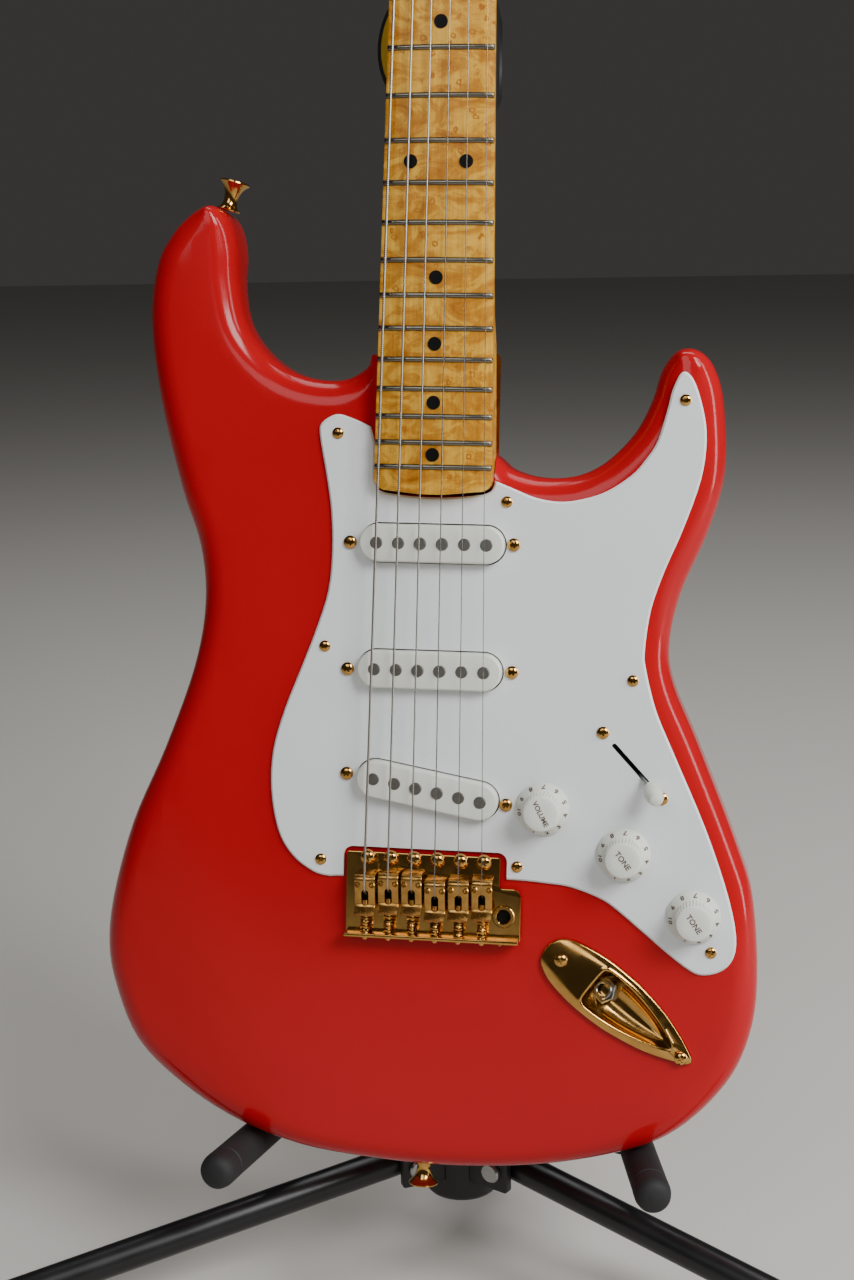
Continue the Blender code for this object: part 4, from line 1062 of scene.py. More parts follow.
@dataclass
class Guard:
    """The white guard, its screws, the three pickups and the screws that hold them.

    Attributes:
        thickness: The guard's.
        chamfer: Its sloped rim.
        pickup_length: Each cover.
        pickup_width: Each cover.
        pickup_top: How far a cover stands forward of the body's face.
        pole_radius: Each pole piece.
        pole_heights: How far each pole stands over its cover, lowest string first.
    """

    thickness: float = 1.6
    chamfer: float = 0.9
    pickup_length: float = 69.3
    pickup_width: float = 18.0
    pickup_top: float = 8.0
    pole_radius: float = 2.8
    pole_heights: tuple[float, ...] = (0.15, 0.3, 0.75, 0.6, 0.1, 0.3)

    def sheet(self) -> bpy.types.Object:
        """Models the guard with its openings."""
        outline = []
        for run in GUARD_RUNS:
            curve = smooth_through(raised(run), 4, closed=False)
            outline += [tuple(p) for p in curve[:-1]]
        piece = slab(outline, -0.3, -0.3 - self.thickness)
        bevel_edges(piece, rim_at(-0.3 - self.thickness), self.chamfer, 1)
        window = rounded([(-40.5, up(638.5), 4.5), (39.0, up(638.5), 4.5), (39.0, up(665), 0), (-40.5, up(665), 0)])
        carve(piece, slab(window, 4.0, -6.0))
        for _, below, angle, _ in PICKUPS:
            hole = slab(stadium(self.pickup_length + 1.3, self.pickup_width + 1.3), 5.0, -8.0)
            carve(piece, hole, Matrix.Translation((0, 0, up(below))) @ turned_about_depth(angle))
        for _, x, below, _, _ in KNOBS:
            carve(piece, turned([(5.0, -8), (5.0, 8)], 32), Matrix.Translation((x, 0, up(below))) @ FACING)
        slot = slab(stadium(27.5, 2.3), 5.0, -8.0)
        carve(piece, slot, Matrix.Translation((SWITCH_PLACE[0], 0, up(SWITCH_PLACE[1])))
              @ turned_about_depth(SWITCH_TURN))
        return piece

    def pickup(self, name: str, below: float, angle: float, places: Places, finishes: Finishes) -> None:
        """Models one cover and its six poles, and dresses them.

        Args:
            name: Which pickup.
            below: Its centre, below the nut.
            angle: Its slant.
            places: The guitar's axes.
            finishes: The materials.
        """
        cover = slab(stadium(self.pickup_length, self.pickup_width, 24), 9.0, -self.pickup_top)
        bevel_edges(cover, rim_at(-self.pickup_top), 1.3, 4)
        poles = []
        for index, height in enumerate(self.pole_heights):
            x = 52.4 / (STRINGS - 1) * (index - 2.5)
            carve(cover, turned([(2.98, -2), (2.98, 6)], 32), Matrix.Translation((x, -self.pickup_top + 4, 0)) @ FACING)
            profile = [(self.pole_radius, 0), (self.pole_radius, 2.9 + height), (2.58, 3.15 + height),
                       (0.01, 3.15 + height)]
            pole = turned(profile, 32)
            pole.data.transform(Matrix.Translation((x, -self.pickup_top + 3.0, 0)) @ FACING)
            poles.append(pole)
        where = places.at(0, 0, up(below), turned_about_depth(angle))
        settle(cover, f"pickup_cover_{name}_shell", where, "guitar", finishes.cover, [f"pickup_cover_{name}"])
        settle(gather(poles), f"pickup_poles_{name}", where, "guitar", finishes.pole, [f"pickup_coil_{name}"])

    def build(self, places: Places, finishes: Finishes, hardware: Hardware) -> None:
        """Models the guard's pieces and dresses them."""
        settle(self.sheet(), "guard_sheet", places.guitar, "guitar", finishes.guard, ["pickguard"])
        screws = hardware.row(raised(GUARD_SCREWS), -GUARD_FACE)
        settle(screws, "guard_screws", places.guitar, "guitar", finishes.gold)
        heights = [point for _, _, _, pair in PICKUPS for point in pair]
        settle(hardware.row(raised(heights), -GUARD_FACE - 0.5, 1.15), "pickup_screws", places.guitar, "guitar",
               finishes.gold)
        for name, below, angle, _ in PICKUPS:
            self.pickup(name, below, angle, places, finishes)


@dataclass
class Controls:
    """Three numbered knobs and the pickup selector.

    Attributes:
        skirt: The knob's widest radius.
        numbers: How many numbers stand round the skirt.
        first_number: Where the highest number stands, in degrees.
        number_pitch: The angle between numbers, in degrees.
        digit: The height of a digit.
        lever_rest: The lever's lean from square.
    """

    skirt: float = 12.75
    numbers: int = 10
    first_number: float = 187.0
    number_pitch: float = 33.0
    digit: float = 3.8
    lever_rest: float = math.radians(27.5)

    def knob(self) -> bpy.types.Object:
        """Models a knob: a sloped skirt, and a grip with ribs round its foot."""
        rings = []
        profile = [(3.0, -7.0, 0), (3.0, 0.3, 0), (12.2, 0.3, 0), (self.skirt, 0.8, 0), (self.skirt, 1.6, 0),
                   (12.4, 2.1, 0), (10.0, 5.2, 0), (9.4, 5.9, 0), (9.1, 6.1, 1), (8.95, 9.0, 1), (8.75, 13.6, 1),
                   (8.5, 14.6, 0), (8.1, 15.2, 0), (7.3, 15.55, 0), (4.0, 15.6, 0), (0.01, 15.6, 0)]
        for radius, height, ribbed in profile:
            ring = []
            for k in range(144):
                r = radius + (0.24 if k % 4 in (0, 1) else -0.2) * ribbed
                ring.append(Vector((r * math.cos(math.tau * k / 144), r * math.sin(math.tau * k / 144), height)))
            rings.append(ring)
        return skin(rings)

    def digits(self) -> bpy.types.Object:
        """Models the raised numbers round the skirt, each leaning with its slope."""
        slope = math.atan2(5.2 - 2.1, 12.4 - 10.0)
        marks = []
        for k in range(self.numbers):
            mark = self.word(str(self.numbers - k), self.digit)
            angle = math.radians(self.first_number - self.number_pitch * k)
            mark.data.transform(
                Matrix.Rotation(angle - math.pi / 2, 4, "Z") @ Matrix.Translation((0, 11.25, 3.72))
                @ Matrix.Rotation(-slope, 4, "X") @ Matrix.Rotation(math.pi, 4, "Z"))
            marks.append(mark)
        return gather(marks)

    def word(self, text: str, size: float) -> bpy.types.Object:
        """Models a word as thin raised letters, centred and facing along Z."""
        bpy.ops.object.select_all(action="DESELECT")
        bpy.ops.object.text_add()
        word = bpy.context.object
        word.data.body = text
        word.data.size = size
        word.data.align_x = word.data.align_y = "CENTER"
        word.data.extrude = 0.06
        word.data.offset = 0.09
        word.data.resolution_u = 3
        bpy.ops.object.convert(target="MESH")
        return edit(bpy.context.object, lambda: bpy.ops.mesh.remove_doubles(threshold=0.001), outward)

    def build(self, places: Places, finishes: Finishes, hardware: Hardware) -> None:
        """Models the controls and dresses them."""
        knob, digits = self.knob(), self.digits()
        for name, x, below, text, slant in KNOBS:
            where = places.at(x, -GUARD_FACE, up(below), FACING)
            settle(copied(knob, Matrix.Identity(4)), f"{name}_cap", where, name, finishes.cover, [name], 24.0)
            label = self.word(text, 3.3 if len(text) > 4 else 3.7)
            label.data.transform(Matrix.Translation((0, 0, 15.6)) @ Matrix.Rotation(math.radians(slant), 4, "Z"))
            marks = gather([copied(digits, Matrix.Identity(4)), label])
            settle(marks, f"{name}_numbers", where, name, finishes.print)
        for master in (knob, digits):
            bpy.data.objects.remove(master, do_unlink=True)
        switch = places.at(SWITCH_PLACE[0], 0, up(SWITCH_PLACE[1]), turned_about_depth(SWITCH_TURN))
        pivot = switch @ Matrix.Translation((0, 16.0, 0)) @ Matrix.Rotation(self.lever_rest, 4, "Z")
        lever = block((5.2, 35.6, 0.9), (0, -14.3, 0), 0.25)
        settle(lever, "selector_blade", pivot, "selector", finishes.steel, ["selector_lever"])
        tip = turned([(2.3, 0.0), (2.75, 0.5), (3.1, 1.6), (3.9, 4.0), (4.25, 6.5), (4.3, 9.0), (4.0, 11.4),
                      (3.2, 13.1), (1.8, 13.9), (0.01, 14.1)], 40)
        carve(tip, block((6.4, 1.7, 16), (0, 0, 0)))
        settle(tip, "selector_tip_cap", pivot @ Matrix.Translation((0, -25.6, 0)) @ FACING, "selector",
               finishes.cover, ["selector_tip"])
        screws = hardware.row(raised(((83.0, 578.6), (111.6, 608.9))), -GUARD_FACE, 1.1)
        settle(screws, "switch_screws", places.guitar, "guitar", finishes.gold)


@dataclass
class JackPlate:
    """The boat-shaped jack plate with its dished recess, the socket and two screws.

    Attributes:
        half_outline: One side of the plate, along and across.
        dish: One side of the recess's mouth.
        depth: How deep the floor lies under the socket.
        tail_depth: How deep it lies at the tail.
        thickness: The plate's.
    """

    half_outline: tuple[Point, ...] = ((-44, 0), (-43.2, 4.2), (-40.5, 8.2), (-34, 11.6), (-25, 13.6), (-16, 14.6),
                                       (-6, 14.7), (4, 14.0), (20, 11), (33, 6.6), (40, 3.4), (43, 1.7), (44, 0))
    dish: tuple[Point, ...] = ((-15.7, 0), (-15.5, 7.2), (-14.3, 9.8), (-11, 10.6), (-2, 10.2), (8, 8.8), (18, 6.4),
                               (27, 3.3), (30.7, 1.3), (31.8, 0))
    depth: float = 11.5
    tail_depth: float = 3.0
    thickness: float = 2.2

    def loop(self, half: Sequence[Point]) -> list[Point]:
        """Mirrors one side into a smooth closed loop."""
        curve = [tuple(p) for p in smooth_through(half, 4, closed=False)]
        return curve + [(x, -z) for x, z in curve[-2:0:-1]]

    def layer(self, loop: Sequence[Point], y: float, grow: float) -> list[Vector]:
        """One ring of the plate at a depth, grown outwards from its middle."""
        return [Vector((x, y, z)) + Vector((x - 2, 0, z)).normalized() * grow for x, z in loop]

    def trough(self, mouth: Sequence[Point], face: float, angle: float, grow: float) -> list[Vector]:
        """One ring of the recess, part of the way down from its mouth to the spine of its rounded floor.

        Args:
            mouth: The recess's mouth.
            face: The depth of the mouth.
            angle: 0 at the mouth and a right angle at the spine.
            grow: How far outside the recess the ring lies, for the shell behind it.

        Returns:
            The ring.
        """
        ring = []
        for x, z in mouth:
            spine = min(max(x * 0.86, self.dish[0][0] + 1.2), self.dish[-1][0] - 5)
            share = (spine - self.dish[0][0]) / (self.dish[-1][0] - self.dish[0][0])
            deep = (self.depth * (1 - share) + self.tail_depth * share + grow) * math.sin(angle)
            ring.append(Vector((x + (spine - x) * math.sin(angle), face + deep, z * math.cos(angle)))
                        + Vector((x - 2, 0, z)).normalized() * grow * math.cos(angle))
        return ring

    def build(self, places: Places, finishes: Finishes, hardware: Hardware) -> None:
        """Models the plate, its socket and its screws, and dresses them."""
        edge, mouth = self.loop(self.half_outline), self.loop(self.dish)
        mouth = [mouth[round(k * len(mouth) / len(edge)) % len(mouth)] for k in range(len(edge))]
        face = -0.3 - self.thickness
        rings = [self.trough(mouth, face + 1.4, math.radians(angle), 1.3) for angle in (84, 72, 60, 48, 36, 24, 12)]
        rings.append(self.layer(mouth, -0.35, 1.4))
        rings += [self.layer(edge, y, grow) for y, grow in (
            (-0.35, 0.0), (face + 0.9, 0.0), (face + 0.35, -0.3), (face, -1.0))]
        rings += [self.layer(mouth, face + y, grow) for y, grow in (
            (0.0, 2.6), (-0.5, 1.9), (-0.75, 1.1), (-0.6, 0.4), (0.0, 0.0))]
        rings += [self.trough(mouth, face, math.radians(angle), 0.0) for angle in (6, 14, 24, 34, 44, 54, 64, 74, 84)]
        plate = skin(rings)
        where = places.at(JACK_PLACE[0], 0, up(JACK_PLACE[1]), turned_about_depth(JACK_TURN))
        settle(plate, "jack_plate_boat", where, "guitar", finishes.gold, ["jack_plate"], 50.0)
        socket = ring_turned([(3.3, -6), (3.3, 2.6), (3.5, 2.8), (4.4, 2.8), (4.7, 2.4), (4.7, -6)], 40)
        nut = ring_turned([(4.6, 0.0), (4.6, 1.5), (6.2, 1.5), (6.6, 1.1), (6.6, 0.0)], 6)
        slant = Matrix.Translation((-8.0, face + 8.0, 0)) @ Matrix.Rotation(math.radians(-38), 4, "Z") @ FACING
        settle(gather([socket, nut]), "jack_socket", where @ slant, "guitar", finishes.steel, ["output_jack"])
        spots = [tuple(Vector((x - JACK_PLACE[0], up(s) - up(JACK_PLACE[1])))) for x, s in ((66, 689), (124.4, 733.4))]
        screws = hardware.row(spots, face - 0.4, 1.15)
        settle(screws, "jack_screws", places.at(JACK_PLACE[0], 0, up(JACK_PLACE[1])), "guitar", finishes.gold)


# ------------------------------------------------------------------ bridge, strings and tuners

SADDLE_CRESTS = (652.5, 651.3, 651.3, 653.7, 652.9, 652.0)
STRING_RADII = (0.62, 0.5, 0.4, 0.28, 0.22, 0.18)
STRING_KINDS = (Wrap.WOUND, Wrap.WOUND, Wrap.WOUND, Wrap.PLAIN, Wrap.PLAIN, Wrap.PLAIN)
STRING_AT_SADDLE = 13.4


@dataclass
class Bridge:
    """The gold tremolo bridge: a plate with a turned-up lip, six bent saddles and all their screws.

    Attributes:
        plate_thickness: The base plate.
        pivot_forward: How far its underside stands from the body's face.
        saddle_width: Each saddle.
        saddle_gauge: The strip that a saddle is bent from.
        lip: How high the rear lip stands.
        pitch: Between the pivot screws.
    """

    plate_thickness: float = 1.8
    pivot_forward: float = 2.2
    saddle_width: float = 9.9
    saddle_gauge: float = 1.5
    lip: float = 8.4
    pitch: float = 11.27

    def plate(self) -> bpy.types.Object:
        """Models the base plate, with its stepped wing for the arm, and the lip along its rear."""
        outline = rounded([(-38.5, 2.4, 1.2), (36.0, 2.4, 1.2), (36.0, -12.6, 1.2), (46.2, -12.6, 4.0),
                           (46.4, -38.2, 1.0), (-38.5, -38.2, 1.0)])
        plate = slab(outline, 0.0, -self.plate_thickness)
        bevel_edges(plate, rim_at(-self.plate_thickness), 0.35, 2)
        lip = block((84.4, self.lip, 1.8), (3.7, -self.lip / 2, -37.3), 0.4)
        unite(plate, lip)
        carve(plate, turned([(3.4, -5.3), (3.4, 5.7)], 37), Matrix.Translation((38.2, 0, -25.9)) @ FACING)
        ring = ring_turned([(3.35, 1.2), (3.35, 3.0), (3.7, 3.3), (5.0, 3.3), (5.4, 2.9), (5.4, 1.2)], 40)
        ring.data.transform(Matrix.Translation((38.2, 0, -25.9)) @ FACING)
        return gather([plate, ring])

    def saddle(self, crest: float, top: float) -> bpy.types.Object:
        """Bends one saddle from a strip: an upright front, a sloping top and a small tab at the rear.

        Args:
            crest: Where the string crosses it, up from the pivot.
            top: How far the crest stands forward of the plate's underside.

        Returns:
            The saddle, centred on its string.
        """
        base = self.plate_thickness + 0.35
        half = self.saddle_gauge / 2
        path = [(crest + 1.7, base), (crest + 1.7, top - 4.4), (crest + 1.55, top - 2.6), (crest + 0.9, top - 1.3),
                (crest - 0.5, top - 0.75), (crest - 4.0, top - 1.5), (crest - 11.6, top - 3.3), (crest - 13.3, top - 3.3),
                (crest - 14.8, top - 2.4), (crest - 17.2, top + 0.2)]
        curve = smooth_through(path, 3, closed=False)
        left, right = [], []
        for i, point in enumerate(curve):
            along = (curve[min(i + 1, len(curve) - 1)] - curve[max(i - 1, 0)]).normalized()
            side = Vector((-along.y, along.x)) * half
            left.append(point + side)
            right.append(point - side)
        section = left + right[::-1]
        piece = skin([[Vector((x, -p.y, p.x)) for p in section]
                      for x in (-self.saddle_width / 2, self.saddle_width / 2)])
        face = self.saddle_width / 2
        slot = slab(stadium(8.2, 3.5, 12), 4.0, -6.0)
        carve(piece, slot, Matrix.Translation((0, -top + 3, crest - 9.3)) @ Matrix.Rotation(math.pi / 2, 4, "Y"))
        bevel_edges(piece, lambda a, b: abs(a.x - b.x) < 0.01 and abs(abs(a.x) - face) < 0.01, 0.3, 2)
        return piece

    def screws_for(self, x: float, crest: float, top: float) -> list[bpy.types.Object]:
        """Models the two height screws, the length screw and the spring of one saddle.

        Args:
            x: Across.
            crest: Where the string crosses the saddle, up from the pivot.
            top: How far the crest stands forward of the plate's underside.

        Returns:
            The pieces, in the bridge's own millimetres.
        """
        made = []
        for side in (-3.55, 3.55):
            grub = turned([(1.45, self.plate_thickness + 0.1), (1.45, top - 0.1), (1.2, top + 0.15), (0.01, top + 0.15)], 24)
            carve(grub, turned([(0.75, top - 1.0), (0.75, top + 2)], 6))
            grub.data.transform(Matrix.Translation((x + side, 0, crest - 2.6)) @ FACING)
            made.append(grub)
        height = -6.4
        shank = turned([(0.01, -39.6), (0.9, -39.5), (1.35, -39.1), (1.45, -38.7), (1.45, -38.3), (1.4, -38.25),
                        (1.4, crest - 10.6), (0.01, crest - 10.4)], 28)
        shank.data.transform(Matrix.Translation((x, height, 0)))
        made.append(shank)
        start, end = crest - 18.2, -36.2
        turns = 6
        coil = [Vector((x + 2.05 * math.cos(math.tau * t / 14), height + 2.05 * math.sin(math.tau * t / 14),
                        start + (end - start) * t / (14 * turns))) for t in range(14 * turns + 1)]
        made.append(tube(coil, 0.36, 1))
        return made

    def build(self, places: Places, finishes: Finishes) -> None:
        """Models the bridge's pieces and dresses them."""
        where = places.at(0, -self.pivot_forward, up(BRIDGE_BELOW))
        settle(self.plate(), "bridge_base", where, "bridge", finishes.gold, ["bridge_plate"], 35.0)
        small = []
        for index, below in enumerate(SADDLE_CRESTS):
            crest = BRIDGE_BELOW - below
            top = STRING_AT_SADDLE - STRING_RADII[index] - self.pivot_forward - 0.15
            x = string_across(index, below)
            piece = self.saddle(crest, top)
            settle(piece, f"saddle_{index + 1}_bent", where @ Matrix.Translation((x, 0, 0)), "bridge",
                   finishes.satin_gold, [f"saddle_{index + 1}"], 35.0)
            small += self.screws_for(x, crest, top)
        settle(gather(small), "saddle_screws", where, "bridge", finishes.gold, crease=35.0)
        # Thin black slabs on the plate under each saddle's slot, where the string drops through: painted shade standing
        # in for the dark string holes.
        hole_shade_slabs = []
        for index, below in enumerate(SADDLE_CRESTS):
            hole = slab(stadium(7.2, 5.4, 10), -self.plate_thickness + 0.3, -self.plate_thickness - 0.06)
            hole.data.transform(Matrix.Translation((string_across(index, below), 0, BRIDGE_BELOW - below - 9.4))
                                @ Matrix.Rotation(math.pi / 2, 4, "Y"))
            hole_shade_slabs.append(hole)
        settle(gather(hole_shade_slabs), "string_holes_painted_shade", where, "bridge", finishes.inlay_and_hole_shade)
        # A black disc at the bottom of the arm's hole: painted shade for the hole's dark depth.
        socket_shade_disc = turned([(0.01, 0.1), (3.3, 0.1), (3.3, 0.6), (0.01, 0.6)], 32)
        settle(socket_shade_disc, "arm_socket_painted_shade", where @ Matrix.Translation((38.2, 0, -25.9)) @ FACING, "bridge", finishes.inlay_and_hole_shade)
        ball = turned([(0.01, -1.5), (0.8, -1.3), (1.3, -0.6), (1.3, 0.3), (1.0, 1.2), (0.01, 1.5)], 24)
        pair = [copied(ball, Matrix.Translation((x, -2.0, z))) for x, z in ((36.6, -39.0), (39.6, -38.4))]
        bpy.data.objects.remove(ball, do_unlink=True)
        settle(gather(pair), "arm_tension_screws", where, "bridge", finishes.gold)
        block_piece = block((68.0, 37.0, 13.0), (0, 18.9, -10.0), 0.8)
        settle(block_piece, "inertia_block", where, "bridge", finishes.steel, ["tremolo_block"])
        heads = []
        for index in range(STRINGS):
            head = turned([(1.6, -3.0), (1.6, 1.8), (3.5, 1.85), (3.75, 2.3), (3.6, 3.2), (3.0, 4.0), (2.0, 4.55),
                           (0.9, 4.75), (0.01, 4.8)], 36)
            for angle in (0.5 + index, 0.5 + index + math.pi / 2):
                carve(head, block((3.6, 0.75, 2.2), (0, 0, 4.8)), Matrix.Rotation(angle, 4, "Z"))
            head.data.transform(Matrix.Translation(((index - 2.5) * self.pitch, -self.pivot_forward, up(BRIDGE_BELOW)))
                                @ FACING)
            heads.append(head)
        settle(gather(heads), "bridge_pivot_screws", places.guitar, "guitar", finishes.gold)


@dataclass
class Strings:
    """Six strings, wound on their posts, laid over the nut and bent down into their saddles.

    Attributes:
        at_nut: How far forward of the body's face they cross the nut.
        winds: Turns on each post.
        bend_zone: How far before the saddles a string starts to follow the bridge; not used.
    """

    at_nut: float = 11.3
    winds: float = 2.25
    bend_zone: float = 30.0

    def path(self, index: int) -> list[Vector]:
        """A string's run, from the end of its winds to the saddle's slot."""
        x, below = post_place(index)
        radius = STRING_RADII[index]
        around = 3.05 + radius
        points = []
        steps = int(20 * self.winds)
        for k in range(steps, -1, -1):
            angle = math.tau * k / 20
            depth = -(HEAD_FACE + 5.6) + k / 20 * (2 * radius + 0.25)
            points.append(Vector((x + around * math.cos(angle), depth, up(below) + around * math.sin(angle))))
        crest = SADDLE_CRESTS[index]
        across = string_across(index, crest)
        points.append(Vector((string_across(index, 0), -self.at_nut, up(2.6))))
        for share in (0.25, 0.5, 0.75, 0.95, 0.985):
            points.append(Vector((
                string_across(index, crest * share),
                -(self.at_nut + (STRING_AT_SADDLE - self.at_nut) * share), up(crest * share))))
        points += [Vector((across, -STRING_AT_SADDLE + fall, up(crest + past))) for past, fall in (
            (-0.6, 0.0), (0.6, 0.1), (3.0, 0.7), (5.2, 1.4), (6.4, 2.6), (7.3, 4.8), (8.0, 7.8))]
        return points

    def build(self, places: Places, finishes: Finishes) -> None:
        """Models the strings and dresses them."""
        looks = {Wrap.WOUND: finishes.wound_wire, Wrap.PLAIN: finishes.plain_wire}
        for index, kind in enumerate(STRING_KINDS):
            name = f"string_{index + 1}"
            piece = tube(self.path(index), STRING_RADII[index], 2)
            piece.data.transform(places.guitar)
            piece.name = piece.data.name = f"{name}_wire"
            pick(piece)
            bpy.ops.object.shade_smooth()
            piece.data.materials.clear()
            piece.data.materials.append(looks[kind])
            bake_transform(piece)
            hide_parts(name)
            LOG.info("%s: taut %s wire", name, kind.value)


@dataclass
class Tuners:
    """Six machine heads behind the headstock, each with its post, bushing and button."""

    pitch: float = math.hypot(47.5 / 6.2, 120.0) / 5

    def build(self, places: Places, finishes: Finishes, hardware: Hardware) -> None:
        """Models the tuners and dresses them."""
        back = HEAD_THICKNESS - HEAD_FACE + 0.3
        first, last = post_place(0), post_place(STRINGS - 1)
        middle = ((first[0] + last[0]) / 2, (first[1] + last[1]) / 2)
        pitch = math.hypot(last[0] - first[0], last[1] - first[1]) / (STRINGS - 1)
        tilt = Matrix.Rotation(math.atan2(9.5, 124.0), 4, "Y")
        where = places.at(middle[0], back, up(middle[1]), tilt)
        pieces = [block((15, 1.6, 5 * pitch + 20), (0, 0.8, 0), 0.4)]
        wing = smooth_through([(-4.5, 14.6), (-8.4, 17.2), (-9.6, 23), (-7.6, 29.8), (-3.4, 32.5), (0, 32.9),
                               (3.4, 32.5), (7.6, 29.8), (9.6, 23), (8.4, 17.2), (4.5, 14.6), (0, 14.0)], 4)
        for index in range(STRINGS):
            height = pitch * (index - 2.5)
            pieces.append(block((13, 9, 15), (-1.0, 5.0, height), 2.2))
            front = back + HEAD_FACE
            post = turned([(3.0, 0.0), (3.0, front + 3.6), (2.75, front + 4.4), (2.6, front + 5.0),
                           (2.75, front + 5.8), (3.0, front + 6.6), (3.0, front + 7.6), (2.6, front + 8.0), (0.01, front + 8.0)], 32)
            carve(post, block((1.3, 8, 4.2), (0, 0, front + 7.2)))
            bushing = turned([(4.6, front - 4), (4.6, front), (6.4, front), (6.4, front + 0.6), (4.4, front + 1.5),
                              (2.9, front + 1.6)], 40)
            for piece in (post, bushing):
                piece.data.transform(Matrix.Translation((0, 1.0, height)) @ FACING)
            pieces += [post, bushing]
            grip = slab([tuple(p) for p in wing], 2.9, -2.9)
            bevel_edges(grip, lambda a, b: abs(a.y - b.y) < 0.01, 1.9, 4)
            grip.data.transform(Matrix.Rotation(math.pi / 2, 4, "Z"))
            stem = turned([(2.2, 0.0), (2.2, 11.8), (3.2, 12.2), (3.6, 13.0), (3.6, 13.9), (2.9, 14.6), (2.2, 15.5),
                           (2.0, 18.0)], 28)
            axis = where @ Matrix.Translation((-7.8, 5.5, height)) @ Matrix.Rotation(-math.pi / 2, 4, "Y")
            settle(gather([grip, stem]), f"tuner_key_{index + 1}", axis, f"tuner_{index + 1}", finishes.gold,
                   [f"tuner_button_{index + 1}"], 40.0)
        settle(gather(pieces), "tuner_gears", where, "guitar", finishes.gold, ["tuner_plate"], 40.0)
        tree = turned([(1.4, -5), (1.4, 4.6), (3.2, 4.7), (3.4, 5.4), (3.2, 6.2), (1.2, 6.6), (0.01, 6.6)], 32)
        tree.data.transform(Matrix.Translation((3.2, -HEAD_FACE, up(-82))) @ FACING)
        settle(tree, "string_tree", places.guitar, "guitar", finishes.gold)


@dataclass
class RearAndStraps:
    """The back cover, the neck's bolted plate and the two strap buttons."""

    thickness: float = 44.5

    def build(self, places: Places, finishes: Finishes, hardware: Hardware) -> None:
        """Models the pieces and dresses them."""
        rear = self.thickness + 0.3
        low, high = up(675), up(511)
        cover = slab(rounded([(-42, low, 7), (42, low, 7), (42, high, 7), (-42, high, 7)]), rear, rear + 1.6)
        bevel_edges(cover, rim_at(rear + 1.6), 0.7, 1)
        for index in range(STRINGS):
            slot = slab(stadium(13, 6), rear - 3, rear + 5)
            carve(cover, slot, Matrix.Translation((string_across(index, 650), 0, up(650)))
                  @ Matrix.Rotation(math.pi / 2, 4, "Y") @ Matrix.Scale(0.75, 4))
        settle(cover, "back_cover_sheet", places.guitar, "guitar", finishes.guard, ["back_cover"])
        spots = [(x, z) for x in (-37.5, 37.5) for z in (low + 5, (low + high) / 2, high - 5)]
        settle(hardware.row(spots, rear + 1.6, flip=True), "back_cover_screws", places.guitar, "guitar", finishes.gold)
        low, high = up(461.75), up(398.25)
        plate = slab(rounded([(-25.5, low, 4), (25.5, low, 4), (25.5, high, 4), (-25.5, high, 4)]), rear, rear + 1.8)
        bevel_edges(plate, rim_at(rear + 1.8), 0.6, 3)
        settle(plate, "neck_bolt_plate", places.guitar, "guitar", finishes.gold, ["neck_plate"])
        spots = [(x, z) for x in (-18.5, 18.5) for z in (low + 7, high - 7)]
        bolts = hardware.row(spots, rear + 1.8, 1.6, flip=True)
        settle(bolts, "neck_bolts", places.guitar, "guitar", finishes.gold)
        button = turned([(5.7, 0.25), (5.9, 0.8), (4.9, 1.5), (3.9, 2.8), (3.4, 4.6), (3.35, 6.4), (3.7, 8.6), (4.6, 10.8),
                         (5.9, 12.5), (7.1, 13.4), (7.45, 13.9), (7.3, 14.5), (6.2, 14.9), (3.2, 15.0), (2.6, 14.1), (0.01, 14.1)], 48)
        for angle in (0.4, 0.4 + math.pi / 2):
            carve(button, block((4.0, 0.8, 3), (0, 0, 14.2)), Matrix.Rotation(angle, 4, "Z"))
        for name, where in (
            ("lower", places.at(-1.5, 22.0, 0.0, Matrix.Rotation(math.pi, 4, "X"))),
            ("upper", places.at(-107.5, 22.0, up(333.0), Matrix.Rotation(math.radians(14), 4, "Y"))),
        ):
            settle(copied(button, Matrix.Identity(4)), f"{name}_strap_peg", where, "guitar", finishes.gold,
                   [f"{name}_strap_button"])
        bpy.data.objects.remove(button, do_unlink=True)


# ------------------------------------------------------------------ the stand


